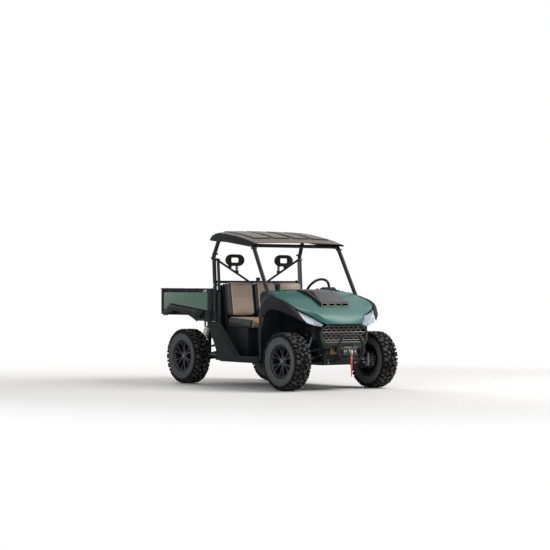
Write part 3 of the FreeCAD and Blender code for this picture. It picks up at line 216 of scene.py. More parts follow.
def cad_copy(node, width=0.0, angle=32.0, segments=2):
    """A CAD node's faces, freed of flat seams, with every edge rounded that is sharper than an angle."""
    bm = bmesh.new()
    bm.from_mesh(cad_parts[node].data)
    bmesh.ops.remove_doubles(bm, verts=bm.verts, dist=2e-5)
    bmesh.ops.dissolve_limit(bm, angle_limit=math.radians(0.6), verts=bm.verts, edges=bm.edges)
    if width:
        bevelled(bm, [e for e in bm.edges if len(e.link_faces) == 2 and e.calc_face_angle(0.0) > math.radians(angle)],
                 width, segments)
    return bm


def make(name, bm, body, slot, *finishes, smooth=34.0, swap=""):
    """Turns a bmesh into a finished piece that rides on a body and stands for a CAD node."""
    mesh = bpy.data.meshes.new(name)
    bm.to_mesh(mesh)
    bm.free()
    for finish in finishes:
        mesh.materials.append(finish.material)
    mesh.shade_smooth()
    mesh.set_sharp_from_angle(angle=math.radians(smooth))
    piece = bpy.data.objects.new(name, mesh)
    bpy.context.scene.collection.objects.link(piece)
    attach(piece, body)
    if swap:
        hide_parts(swap)
    return piece


def block(bm, low, high, bevel=0.0, place=None, material=0):
    """A rectangular piece with rounded edges, between two opposite corners, then moved by a matrix."""
    low = Vector(low)
    high = Vector(high)
    verts = bmesh.ops.create_cube(bm, size=1.0)["verts"]
    bmesh.ops.scale(bm, verts=verts, vec=Vector([abs(side) for side in high - low]))
    bmesh.ops.translate(bm, verts=verts, vec=(low + high) / 2)
    if place:
        bmesh.ops.transform(bm, matrix=place, verts=verts)
    for face in {f for v in verts for f in v.link_faces}:
        face.material_index = material
    if bevel:
        bevelled(bm, list({e for v in verts for e in v.link_edges}), bevel)


def drum(bm, start, end, radius, tip=None, segments=20, bevel=0.0, material=0):
    """A round piece between two points."""
    start = Vector(start)
    end = Vector(end)
    run = end - start
    place = Matrix.Translation((start + end) / 2) @ run.to_track_quat("Z", "Y").to_matrix().to_4x4()
    verts = bmesh.ops.create_cone(bm, cap_ends=True, segments=segments, radius1=radius,
                                  radius2=radius if tip is None else tip, depth=run.length,
                                  matrix=place)["verts"]
    for face in {f for v in verts for f in v.link_faces}:
        face.material_index = material
    if bevel:
        bevelled(bm, [e for e in {e for v in verts for e in v.link_edges} if e.calc_face_angle(0.0) > 0.9], bevel)


def mirror(bm, verts, faces):
    bmesh.ops.scale(bm, vec=(1.0, -1.0, 1.0), verts=verts)
    bmesh.ops.reverse_faces(bm, faces=faces)


def twin(bm):
    """Adds the left-hand copy of what was made for the right-hand side."""
    made = bmesh.ops.duplicate(bm, geom=bm.verts[:] + bm.edges[:] + bm.faces[:])["geom"]
    mirror(bm, [g for g in made if isinstance(g, bmesh.types.BMVert)],
           [g for g in made if isinstance(g, bmesh.types.BMFace)])


def bolt(bm, at, way, size=0.008, material=1):
    """A flanged hexagon head that stands on a face."""
    at = Vector(at)
    way = Vector(way)
    drum(bm, at - way * 0.001, at + way * size * 0.25, size * 1.15, segments=12, material=material)
    drum(bm, at, at + way * size * 0.9, size * 0.8, tip=size * 0.72, segments=6, material=material)


def powder_coat(name, color, roughness):
    """Satin paint baked on steel: faint orange peel, with dust where it lies thick."""
    finish = Finish(name, color, roughness, Specular_IOR_Level=0.22)
    finish.relief(finish.noise(420.0, 2.0), 0.0004, 0.35)
    dust = finish.noise(7.0, 5.0).between(0.50, 0.78)
    finish.tint(dust * 0.10, (0.20, 0.17, 0.13))
    finish.set("Roughness", dust * 0.25 + roughness)
    return finish


frame_coat = powder_coat("frame_powder_coat", (0.010, 0.012, 0.014), 0.44)
zinc = Finish("zinc_plate", (0.55, 0.55, 0.53), 0.34, Metallic=1.0)
zinc.wear(60.0, 0.22, 0.26, 4.0)
zinc.stain(0.35, (0.36, 0.34, 0.29), 18.0, 3.0, 0.45, 0.8)

rails = cad_copy("main_frame", 0.003)
for x in (1.285, 0.985, -0.795, -1.095):
    for z in (0.42, 0.66):
        for side in (-1, 1):
            bolt(rails, (x, side * 0.265, z), (0, side, 0))
make("frame_rails", rails, "chassis", "frame_steel", frame_coat, zinc, swap="main_frame")

receiver = cad_copy("hitch_receiver", 0.0025)
for y in (-0.09, 0.09):
    bolt(receiver, (-1.2603, y, 0.331), (-1, 0, 0), 0.009)
make("receiver_tube", receiver, "chassis", "frame_steel", frame_coat, zinc, swap="hitch_receiver")


def moulded(name, color, roughness, grain=900.0):
    """Black polyethylene with a fine leather grain from the mould and a haze of dust."""
    finish = Finish(name, color, roughness, Specular_IOR_Level=0.14)
    waves = finish.noise(14.0, 4.0)
    finish.relief(finish.cells(grain) + waves * 0.6, 0.00022, 0.55)
    finish.set("Roughness", waves * 0.18 + (roughness - 0.08))
    finish.stain(0.08, (0.19, 0.17, 0.14), 5.0, 6.0, 0.48, 0.8)
    return finish


black_plastic = moulded("grained_black_plastic", (0.0085, 0.0105, 0.0135), 0.56)

skid = cad_copy("skid_plate", 0.002)
for x in (-0.25, 0.15, 0.55, 0.95, 1.22):
    for y in (-0.24, 0.24):
        drum(skid, (x, y, 0.2990), (x, y, 0.3004), 0.012, segments=16, material=1)
for x in (-0.1, 0.3, 0.7, 1.08):
    block(skid, (x - 0.07, -0.15, 0.2985), (x + 0.07, 0.15, 0.3002), 0.0006)
make("skid_guard", skid, "chassis", "black_plastic", black_plastic, zinc, swap="skid_plate")

# Engine and gearbox: a plain aluminium case in the middle of the vehicle, with cast ribs and covers,
# and the steel silencer behind it that hangs from the bed rails.
cast_alloy = Finish("sand_cast_aluminium", (0.33, 0.34, 0.35), 0.48, Metallic=0.85)
cast_alloy.relief(cast_alloy.noise(380.0, 3.0), 0.0008, 0.5)
cast_alloy.stain(0.55, (0.10, 0.09, 0.08), 9.0, 5.0, 0.45, 0.75)
engine = cad_copy("engine_block", 0.018, segments=3)
for side in (-1, 1):
    for k in range(7):
        x = -0.752 + k * 0.046
        block(engine, (x, side * 0.219, 0.50), (x + 0.008, side * 0.2265, 0.68), 0.002)
    drum(engine, (-0.61, side * 0.219, 0.42), (-0.61, side * 0.2275, 0.42), 0.052, segments=32, bevel=0.003)
block(engine, (-0.71, -0.15, 0.698), (-0.52, 0.15, 0.712), 0.006)
make("engine_case", engine, "chassis", "cast_alloy", cast_alloy, swap="engine_block")

hot_steel = Finish("aluminised_steel", (0.40, 0.38, 0.35), 0.38, Metallic=1.0)
hot_steel.stain(0.6, (0.16, 0.11, 0.08), 12.0, 5.0, 0.4, 0.8)
hot_steel.wear(90.0, 0.3, 0.28)
silencer = cad_copy("muffler", 0.0015, 50.0)
for y in (-0.198, -0.06, 0.06, 0.198):
    bmesh.ops.create_cone(silencer, cap_ends=True, segments=40, radius1=0.0845, radius2=0.0845, depth=0.008,
                          matrix=Matrix.Translation((-1.2, y, 0.64)) @ Matrix.Rotation(math.pi / 2, 4, "X"))
make("silencer", silencer, "chassis", "bare_steel", hot_steel, smooth=40.0, swap="muffler")

# Final drives: ribbed cast aluminium cases between the rails, front and rear, with the flanges
# that drive the half shafts.
drives = cad_copy("drive_units", 0.02, segments=3)
for x, top in ((1.136, 0.470), (-0.945, 0.500)):
    for y in (-0.11, -0.055, 0.0, 0.055, 0.11):
        block(drives, (x - 0.062, y - 0.004, 0.36), (x + 0.064, y + 0.004, top - 0.008), 0.002)
    for side in (-1, 1):
        drum(drives, (x - 0.001, side * 0.140, 0.400), (x - 0.001, side * 0.1502, 0.400), 0.046, segments=28,
             bevel=0.002)
make("final_drives", drives, "chassis", "cast_alloy", cast_alloy, swap="drive_units")

# Suspension: arched tube wishbones on rubber bushes, front and rear, with the shafts that drive the
# wheels between them. Each shaft has a ribbed rubber boot at both ends.
make("wishbones", cad_copy("suspension_arms"), "chassis", "frame_steel", frame_coat, smooth=44.0,
     swap="suspension_arms")

boot_rubber = Finish("boot_rubber", (0.020, 0.020, 0.021), 0.62, Specular_IOR_Level=0.35)
boot_rubber.relief(boot_rubber.noise(260.0, 3.0), 0.0005, 0.4)
boot_rubber.stain(0.25, (0.17, 0.15, 0.12), 11.0, 4.0, 0.45, 0.8)
FRONT_AXLE = 1.135
REAR_AXLE = -0.945
WHEEL_HEIGHT = 0.350


def add(bm, part, place=None, material=None):
    """Adds one bmesh to another, moved by a matrix and in one finish where these are given."""
    if place:
        bmesh.ops.transform(part, matrix=place, verts=part.verts)
    mesh = bpy.data.meshes.new("part")
    part.to_mesh(mesh)
    part.free()
    if material is not None:
        for face in mesh.polygons:
            face.material_index = material
    bm.from_mesh(mesh)
    bpy.data.meshes.remove(mesh)


def lathe(bm, profile, place, segments=48, material=0, closed=False):
    """A profile of (along, radius) pairs turned about the local x axis, then moved by a matrix."""
    turned = bmesh.new()
    verts = [turned.verts.new((along, radius, 0.0)) for along, radius in profile]
    edges = [turned.edges.new(pair) for pair in zip(verts, verts[1:] + (verts[:1] if closed else []))]
    bmesh.ops.spin(turned, geom=verts + edges, cent=(0, 0, 0), axis=(1, 0, 0), angle=math.tau, steps=segments,
                   use_merge=True)
    bmesh.ops.recalc_face_normals(turned, faces=turned.faces)
    add(bm, turned, place, material)


def along(start, end):
    """The matrix that lays the local x axis from one point towards another."""
    run = Vector(end) - Vector(start)
    return Matrix.Translation(start) @ run.to_track_quat("X", "Z").to_matrix().to_4x4()


shafts = bmesh.new()
for axle in (FRONT_AXLE, REAR_AXLE):
    inner = Vector((axle, -0.1505, 0.400))
    outer = Vector((axle, -0.552, WHEEL_HEIGHT))
    drum(shafts, inner, outer, 0.0138, segments=20, material=1)
    lathe(shafts, [(0.0, 0.001), (0.0, 0.040), (0.026, 0.040), (0.030, 0.034)], along(inner, outer), 32, 1)
    for start, end, big in ((inner, outer, 0.034), (outer, inner, 0.036)):
        ribs = [(0.028, 0.014)]
        for k in range(6):
            high = big - k * 0.0032
            ribs += [(0.028 + k * 0.013, high), (0.034 + k * 0.013, high - 0.0055)]
        ribs += [(0.108, 0.0185), (0.116, 0.0182), (0.117, 0.0135)]
        lathe(shafts, ribs, along(start, end), 32)
    lathe(shafts, [(0.0, 0.001), (0.0, 0.030), (0.004, 0.036), (0.029, 0.036), (0.030, 0.030)],
          along(outer, inner), 32, 1)
twin(shafts)
make("drive_shafts", shafts, "chassis", "bare_steel", boot_rubber, zinc, swap="half_shafts")

# Springs and dampers: a gas damper inside a steel coil spring, with a threaded collar at the top
# and a rubber-bushed eye at each end.
spring_paint = powder_coat("spring_enamel", (0.028, 0.029, 0.031), 0.30)
TURNS = 8.5
STEPS_PER_TURN = 22
coilovers = bmesh.new()
for x in (FRONT_AXLE + 0.050, REAR_AXLE - 0.050):
    foot = Vector((x, -0.478, 0.3233))
    head = Vector((x, -0.2833, 0.740))
    rise = (head - foot).normalized()
    length = (head - foot).length
    stand = along(foot, head)
    for end in (foot, head):
        drum(coilovers, end - Vector((0.012, 0, 0)), end + Vector((0.012, 0, 0)), 0.018, segments=24, bevel=0.002,
             material=1)
    drum(coilovers, foot + rise * 0.012, foot + rise * 0.20, 0.0165, segments=24, bevel=0.002)
    drum(coilovers, foot + rise * 0.19, head - rise * 0.014, 0.0075, segments=16, material=1)
    lathe(coilovers, [(0.046, 0.012), (0.046, 0.031), (0.054, 0.031), (0.056, 0.017)], stand, 28, 1)
    lathe(coilovers, [(length - 0.062, 0.0), (length - 0.064, 0.031), (length - 0.052, 0.031),
                      (length - 0.030, 0.018), (length - 0.028, 0.0)], stand, 28, 1)
    ring = bmesh.ops.create_circle(coilovers, segments=10, radius=0.0048, matrix=stand @ Matrix.Translation(
        (0.060, 0.0255, 0.0)) @ Matrix.Rotation(math.pi / 2, 4, "Z"))["verts"]
    steps = int(TURNS * STEPS_PER_TURN)
    bmesh.ops.spin(coilovers, geom=ring + list({e for v in ring for e in v.link_edges}), cent=foot, axis=rise,
                   dvec=rise * ((length - 0.128) / (TURNS * STEPS_PER_TURN)), angle=math.tau * TURNS, steps=steps)
twin(coilovers)
bmesh.ops.recalc_face_normals(coilovers, faces=coilovers.faces)
make("coil_springs", coilovers, "chassis", "bare_steel", spring_paint, zinc, smooth=50.0, swap="shocks")

# Wheel carriers: cast uprights with a brake caliper over each disc. The front pair steers, moved by
# a ground steel bar that slides in a tube across the frame, with a rod end under each lever.
for node, name, body, corners in (
        ("rear_knuckles", "rear_uprights", "chassis", ((REAR_AXLE, -1), (REAR_AXLE, 1))),
        ("knuckle_left", "left_upright", "knuckle_left", ((FRONT_AXLE, 1),)),
        ("knuckle_right", "right_upright", "knuckle_right", ((FRONT_AXLE, -1),))):
    upright = cad_copy(node, 0.002, 50.0)
    for axle, side in corners:
        block(upright, (axle - 0.112, side * 0.624, 0.370), (axle - 0.068, side * 0.652, 0.440), 0.006, material=1)
        block(upright, (axle - 0.095, side * 0.600, 0.362), (axle - 0.030, side * 0.628, 0.376), 0.003)
    make(name, upright, body, "cast_alloy", cast_alloy, frame_coat, swap=node)
make("steering_bar", cad_copy("steering_rack"), "steering_rack", "bare_steel", zinc, smooth=40.0,
     swap="steering_rack")

# Wheels: a black cast rim with six split spokes, a brake disc behind it and a deep-lugged tyre.
# The lugs are rubber blocks in staggered rows, with biters that run down over the shoulder.
wheel_black = Finish("rim_gloss_black", (0.010, 0.012, 0.017), 0.34, Coat_Weight=0.12, Coat_Roughness=0.18)
wheel_black.wear(35.0, 0.16, 0.2, 4.0)
wheel_black.stain(0.1, (0.18, 0.17, 0.15), 6.0, 6.0, 0.52, 0.8)
machined = Finish("machined_alloy", (0.20, 0.21, 0.22), 0.35, Metallic=0.9)
machined.set("Roughness", machined.noise(140.0, 2.0, (1.0, 0.05, 1.0)) * 0.2 + 0.16)
well_dark = Finish("wheel_well_shade", (0.006, 0.006, 0.007), 0.9, Specular_IOR_Level=0.1)
well_dark.wear(20.0, 0.1, 0.8)
tyre_rubber = Finish("tyre_rubber", (0.010, 0.010, 0.011), 0.82, Specular_IOR_Level=0.12)
rubber_mud = tyre_rubber.noise(9.0, 7.0)
tyre_rubber.relief(tyre_rubber.noise(150.0, 5.0) + rubber_mud * 1.5, 0.0012, 0.5)
tyre_rubber.set("Roughness", rubber_mud * 0.2 + 0.7)
# The side wall and the lug tops are paler: the square of the reach from the nearer axle picks them out.
# The lug tops' paleness is dust and also a painted highlight, lighter than the black gaps between them.
rise = tyre_rubber.axis("Z") - WHEEL_HEIGHT
from_front = tyre_rubber.axis("X") - FRONT_AXLE
from_rear = tyre_rubber.axis("X") - REAR_AXLE
reach = (from_front * from_front + rise * rise).maths("MINIMUM", from_rear * from_rear + rise * rise)
wall = reach.between(0.0400, 0.0430) * (1.0 - reach.between(0.078, 0.090))
lug_tops_dust_and_highlight = reach.between(0.1080, 0.1190) * rubber_mud.between(0.30, 0.62)
tyre_rubber.tint(wall * 0.80 + lug_tops_dust_and_highlight * 0.60, (0.120, 0.121, 0.124))

TREAD = WHEEL_HEIGHT
CARCASS = 0.327
PITCHES = 16
OUTWARD = Matrix.Rotation(math.pi / 2, 4, "Z")


def lug(bm, outline, width, taper, angle, skew, side):
    """A block with an outline in (across, radius), drawn out around the tyre and rounded."""
    verts = [bm.verts.new((-width / 2, across * side, -radius)) for across, radius in outline]
    if side > 0:
        verts.reverse()
    out = bmesh.ops.extrude_face_region(bm, geom=[bm.faces.new(verts)])["geom"]
    far = [g for g in out if isinstance(g, bmesh.types.BMVert)]
    bmesh.ops.translate(bm, verts=far, vec=(width, 0.0, 0.0))
    made = verts + far
    for vert in made:
        vert.co.x *= 1.0 - taper * max(0.0, (-vert.co.z - 0.325) / 0.025)
        vert.co.x += skew * (abs(vert.co.y) - 0.06)
        shrink = min(1.0, TREAD / math.hypot(vert.co.x, vert.co.z))
        vert.co.x *= shrink
        vert.co.z *= shrink
    bmesh.ops.recalc_face_normals(bm, faces=list({f for v in made for f in v.link_faces}))
    top = [e for e in {e for v in made for e in v.link_edges}
           if all(-v.co.z > 0.318 for v in e.verts) and e.calc_face_angle(0.0) > 0.5]
    bmesh.ops.rotate(bm, verts=made, cent=(0, 0, 0), matrix=Matrix.Rotation(angle, 3, "Y"))
    bevelled(bm, top, 0.0022, 1)


# Lug outline in (across, radius), width, taper, skew and turn in parts of a pitch
LUGS = (
    ([(0.050, 0.316), (0.053, TREAD - 0.0010), (0.096, TREAD - 0.0035), (0.1130, 0.3300), (0.1195, 0.3020),
      (0.1150, 0.2900), (0.0960, 0.3020)], 0.058, 0.22, 0.20, 0.0),
    ([(0.070, 0.314), (0.072, TREAD - 0.0035), (0.098, TREAD - 0.0060), (0.1150, 0.3260), (0.1190, 0.3100),
      (0.1060, 0.2980)], 0.032, 0.20, 0.20, 0.5),
    ([(0.004, 0.320), (0.005, TREAD), (0.044, TREAD - 0.0005), (0.046, 0.320)], 0.040, 0.20, 0.32, 0.22),
    ([(0.020, 0.320), (0.021, TREAD - 0.0008), (0.058, TREAD - 0.0012), (0.060, 0.318)], 0.030, 0.20, 0.32, 0.66),
)


def tyre():
    """The tyre about the origin, its axle along y."""
    bm = bmesh.new()
    half = [(0.086, 0.1845), (0.0945, 0.190), (0.0975, 0.204), (0.1040, 0.212), (0.1085, 0.226), (0.1130, 0.240),
            (0.1158, 0.254), (0.1172, 0.268), (0.1158, 0.282), (0.1105, 0.296), (0.1010, 0.308), (0.0880, 0.317),
            (0.0600, 0.323), (0.0200, CARCASS)]
    lathe(bm, [(-y, r) for y, r in half] + [(y, r) for y, r in reversed(half)] + [(0.080, 0.1835), (-0.080, 0.1835)],
          OUTWARD, 90, closed=True)
    for radius, y in ((0.2075, 0.1000), (0.2600, 0.1164)):
        for side in (-1, 1):
            lathe(bm, [(side * (y - 0.003), radius - 0.004), (side * (y + 0.0022), radius - 0.0015),
                       (side * (y + 0.0022), radius + 0.0015), (side * (y - 0.003), radius + 0.004)], OUTWARD, 90)
    pitch = math.tau / PITCHES
    for side, offset in ((-1, 0.0), (1, 0.5)):
        for k in range(PITCHES):
            for outline, width, taper, skew, turn in LUGS:
                lug(bm, outline, width, taper, pitch * (k + offset + turn), skew, side)
    return bm


def rim():
    """The right-hand rim about the origin: its face looks to -y."""
    bm = bmesh.new()
    lay = Matrix.Rotation(-math.pi / 2, 4, "Z")
    lathe(bm, [(0.0945, 0.1830), (0.0965, 0.1880), (0.0935, 0.1900), (0.0880, 0.1850), (0.0700, 0.1820),
               (0.0500, 0.1720), (-0.0500, 0.1720), (-0.0880, 0.1810), (-0.0935, 0.1880), (-0.0945, 0.1780),
               (-0.0800, 0.1740), (-0.0450, 0.1660), (0.0450, 0.1660), (0.0660, 0.1740), (0.0860, 0.1775)],
          lay, 72, closed=True)
    lathe(bm, [(0.020, 0.0), (0.020, 0.046), (0.052, 0.060), (0.066, 0.058), (0.070, 0.050), (0.062, 0.044),
               (0.062, 0.036), (0.073, 0.033), (0.077, 0.026), (0.0785, 0.0)], lay, 48)
    for k in range(6):
        for lean in (-1, 1):
            rows = []
            # Spoke stations: radius, sideways offset, half width, back and front of the spoke
            for radius, offset, half, low, high in ((0.045, 0.007, 0.0085, 0.036, 0.067),
                                                    (0.085, 0.013, 0.0075, 0.040, 0.070),
                                                    (0.130, 0.023, 0.0070, 0.046, 0.077),
                                                    (0.172, 0.036, 0.0090, 0.052, 0.086)):
                x = lean * offset
                ring = [bm.verts.new((x + shift, -y, radius)) for shift, y in (
                    (-half, low), (half, low), (half * 0.75, high), (-half * 0.75, high))]
                rows.append([bm.edges.new((ring[i], ring[(i + 1) % 4])) for i in range(4)])
            spoke = []
            for a, b in zip(rows, rows[1:]):
                spoke += bmesh.ops.bridge_loops(bm, edges=a + b)["faces"]
            bmesh.ops.recalc_face_normals(bm, faces=spoke)
            verts = list({v for f in spoke for v in f.verts})
            ridge = [e for e in {e for f in spoke for e in f.edges} if len(e.link_faces) == 2
                     and e.calc_face_angle(0.0) > 0.9]
            bmesh.ops.rotate(bm, verts=verts, cent=(0, 0, 0), matrix=Matrix.Rotation(math.tau * k / 6, 3, "Y"))
            bmesh.ops.bevel(bm, geom=ridge, offset=0.0016, segments=2, profile=0.5, affect="EDGES", material=-1)
    # Rings of nuts: number, radius, seat, height, size, tip
    for count, radius, seat, height, size, tip in ((4, 0.040, 0.060, 0.014, 0.0075, 0.0068),
                                                   (30, 0.1805, 0.0875, 0.004, 0.0030, 0.0024)):
        for k in range(count):
            nut = Matrix.Rotation(math.tau * (k + 0.5) / count, 3, "Y") @ Vector((0.0, -seat, radius))
            drum(bm, nut, nut - Vector((0, height, 0)), size, tip, segments=6, material=1)
    drum(bm, (0.0, -0.0775, 0.0), (0.0, -0.0800, 0.0), 0.015, 0.012, segments=28, material=1)
    drum(bm, (0.0, -0.0870, -0.1700), (0.0, -0.1000, -0.1640), 0.0035, 0.0028, segments=10, material=2)
    lathe(bm, [(-0.062, 0.040), (-0.062, 0.110), (-0.057, 0.110), (-0.057, 0.040)], lay, 48, 1, closed=True)
    lathe(bm, [(-0.046, 0.020), (-0.046, 0.167), (-0.043, 0.167), (-0.043, 0.020)], lay, 64, 3, closed=True)
    drum(bm, (0.0, 0.059, 0.0), (0.0, -0.050, 0.0), 0.044, segments=32, bevel=0.003)
    return bm


rim_made = rim()
tyre_made = tyre()
for end, axle in (("front", FRONT_AXLE), ("rear", REAR_AXLE)):
    for name, side in (("right", -1), ("left", 1)):
        corner = "%s_%s" % (end, name)
        seat = Matrix.Translation((axle, side * 0.675, WHEEL_HEIGHT))
        cast = rim_made.copy()
        if side > 0:
            mirror(cast, cast.verts, cast.faces)
        bmesh.ops.transform(cast, matrix=seat, verts=cast.verts)
        make("rim_cast_" + corner, cast, "wheel_" + corner, "rim_alloy", wheel_black, machined, boot_rubber,
             well_dark, swap="rim_" + corner)
        lugged = tyre_made.copy()
        bmesh.ops.transform(lugged, matrix=seat, verts=lugged.verts)
        make("tyre_lugged_" + corner, lugged, "wheel_" + corner, "tyre_rubber", tyre_rubber, smooth=40.0,
             swap="tyre_" + corner)

# Roll cage: bent round steel tube, powder coated, with gussets and bolted joints where the rear
# frame meets the side hoops. Small round caps close the brackets on the rear pillars.
cage = cad_copy("roll_cage")
for side in (-1, 1):
    for x, z in ((0.452, 1.714), (-0.372, 1.652), (-0.352, 1.262), (-0.352, 1.180)):
        block(cage, (x - 0.030, side * 0.6405, z - 0.012), (x + 0.030, side * 0.6955, z + 0.012), 0.006)
    for x, z in ((-0.362, 1.300), (0.430, 1.748)):
        drum(cage, (x, side * 0.612, z), (x, side * 0.628, z), 0.0265, segments=28, bevel=0.003)
    drum(cage, (-0.352, side * 0.700, 1.262), (-0.352, side * 0.7125, 1.262), 0.015, segments=20, bevel=0.003,
         material=1)
    drum(cage, (-0.376, side * 0.700, 1.600), (-0.376, side * 0.7180, 1.600), 0.020, segments=24, bevel=0.004)
    bolt(cage, (-0.362, side * 0.620, 1.327), (0, 0, 1), 0.007)
make("cage_tubes", cage, "chassis", "frame_steel", frame_coat, zinc, smooth=44.0, swap="roll_cage")

# Roof: one thick moulded panel with four raised pads and a turned-down edge, bolted to the cage.
# Its flat faces are a warm grey, painted light where light falls on them, and its steep ones black.
roof_painted_lit_grey = moulded("roof_moulding_painted_lit", (0.165, 0.150, 0.135), 0.62, 700.0)
roof_black = moulded("roof_moulding", (0.014, 0.015, 0.017), 0.62, 700.0)


def steep(bm, least, material):
    """Gives the faces that lie less flat than a least upward share of their normal another finish."""
    bm.normal_update()
    for face in bm.faces:
        if face.normal.z < least:
            face.material_index = material


def caps(bm, x, inner, outer, z, material=0):
    """A screw cap on each side of the vehicle."""
    for side in (-1, 1):
        drum(bm, (x, side * inner, z), (x, side * outer, z), 0.0085, 0.0075, segments=16, material=material)


top = cad_copy("roof", 0.0035, 20.0)
# Flat faces keep the warm grey, a painted light; steep faces take the black.
steep(top, 0.87, 1)
for x, z in ((-0.330, 1.846), (-0.030, 1.826), (0.260, 1.794), (0.455, 1.768)):
    caps(top, x, 0.6985, 0.7020, z, 1)
make("roof_panel", top, "chassis", "black_plastic", roof_painted_lit_grey, roof_black, smooth=40.0, swap="roof")

# Footwell: a moulded floor pan and firewall with ribbed rubber mats, and two steel pedals that hang
# from the firewall in front of the driver.
mat_rubber = moulded("mat_rubber", (0.020, 0.020, 0.021), 0.7, 500.0)
RIB_PITCH = 0.024
floor_pan = cad_copy("footwell_tub", 0.0012, segments=1)
for low, high in ((-0.575, -0.205), (-0.185, 0.185), (0.205, 0.575)):
    block(floor_pan, (0.250, low, 0.3620), (0.575, high, 0.3655), 0.0015, material=1)
    for k in range(int((high - low - 0.03) / RIB_PITCH)):
        y = low + 0.022 + k * RIB_PITCH
        block(floor_pan, (0.262, y - 0.005, 0.3650), (0.563, y + 0.005, 0.3690), 0.0012, material=1)
make("floor_and_mats", floor_pan, "chassis", "black_plastic", black_plastic, mat_rubber, swap="footwell_tub")


def tube(bm, points, radius, material=0, around=4, closed=False, swell=None):
    """A round bar or cord along a line of points, thicker or thinner where swell(point) says so."""
    curve = bpy.data.curves.new("line", "CURVE")
    curve.dimensions = "3D"
    curve.bevel_depth = radius
    curve.bevel_resolution = around
    curve.use_fill_caps = True
    line = curve.splines.new("POLY")
    line.points.add(len(points) - 1)
    for spot, point in zip(line.points, points):
        spot.co = (*point, 1.0)
        spot.radius = swell(point) if swell else 1.0
    line.use_cyclic_u = closed
    holder = bpy.data.objects.new("line", curve)
    mesh = bpy.data.meshes.new_from_object(holder)
    before = len(bm.faces)
    bm.from_mesh(mesh)
    bm.faces.ensure_lookup_table()
    for face in bm.faces[before:]:
        face.material_index = material
    bpy.data.objects.remove(holder)
    bpy.data.curves.remove(curve)
    bpy.data.meshes.remove(mesh)


def eased(points, parts=4):
    """More points on a smooth line through the given ones."""
    points = [Vector(point) for point in points]
    ends = [points[0] * 2 - points[1]] + points + [points[-1] * 2 - points[-2]]
    out = []
    for a, b, c, d in zip(ends, ends[1:], ends[2:], ends[3:]):
        for k in range(parts):
            t = k / parts
            out.append(0.5 * (2 * b + (c - a) * t + (2 * a - 5 * b + 4 * c - d) * t * t
                              + (3 * b - a - 3 * c + d) * t ** 3))
    return out + [points[-1]]


pedals = bmesh.new()
for y, half, z in ((0.470, 0.040, 0.490), (0.330, 0.030, 0.475)):
    tube(pedals, eased([(0.645, y, 0.700), (0.610, y, 0.660), (0.596, y, 0.560), (0.582, y, z)]), 0.0065)
    place = Matrix.Translation((0.576, y, z)) @ Matrix.Rotation(math.radians(-24), 4, "Y")
    block(pedals, (-0.006, -half, -0.038), (0.004, half, 0.038), 0.003, place, 1)
    for k in range(4):
        rib = -0.029 + k * 0.0175
        block(pedals, (-0.0085, -half + 0.006, rib), (-0.0050, half - 0.006, rib + 0.007), 0.001, place, 1)
make("pedals", pedals, "chassis", "frame_steel", frame_coat, mat_rubber, smooth=44.0)

# Seat base: a moulded plastic box with a raised back shell, bolted to the frame. It carries the
# three cushions, and storage lids close its front.
base = cad_copy("seat_base", 0.006, segments=3)
for y, half in ((-0.3875, 0.1725), (0.0, 0.170), (0.3875, 0.1725)):
    block(base, (0.2310, y - half, 0.420), (0.2350, y + half, 0.675), 0.0018)
    block(base, (0.2345, y - 0.040, 0.640), (0.2420, y + 0.040, 0.655), 0.003)
for z in (0.985, 1.085, 1.185):
    x = -0.2629 - 0.1518 * (z - 0.880)
    block(base, (x - 0.0035, -0.560, z - 0.012), (x + 0.002, 0.560, z + 0.012), 0.0016)
make("seat_box", base, "chassis", "black_plastic", black_plastic, swap="seat_base")

# Seats: foam under vinyl, swollen as cloth between its sewn seams. The faces are tan with cream
# piping, and the sides are black. Each of the three seats has a back and a cushion.
vinyl = Finish("seat_vinyl", (0.43, 0.325, 0.245), 0.52, Sheen_Weight=0.08)
seat_y = vinyl.axis("Y").maths("ABSOLUTE")
faces_tan = seat_y.between(0.2365, 0.2385) * (1.0 - seat_y.between(0.5415, 0.5435)) + (
    1.0 - seat_y.between(0.1315, 0.1335))
grime = vinyl.noise(4.5, 6.0)
tan = vinyl.mix(grime.between(0.42, 0.78) * 0.35, vinyl.color, (0.30, 0.225, 0.165, 1.0))
vinyl.set("Base Color", vinyl.mix(faces_tan, (0.020, 0.020, 0.022, 1.0), tan))
vinyl.relief(vinyl.cells(420.0) + grime, 0.0004, 0.5)
vinyl.set("Roughness", grime * 0.2 + 0.42)
cream = Finish("cream_piping", (0.70, 0.64, 0.52), 0.5)
cream.wear(120.0, 0.2, 0.4)
SWELL_STEPS = 20
BACK_LEAN = -0.1518


def evaluated(piece):
    return bpy.data.meshes.new_from_object(piece.evaluated_get(bpy.context.evaluated_depsgraph_get()))


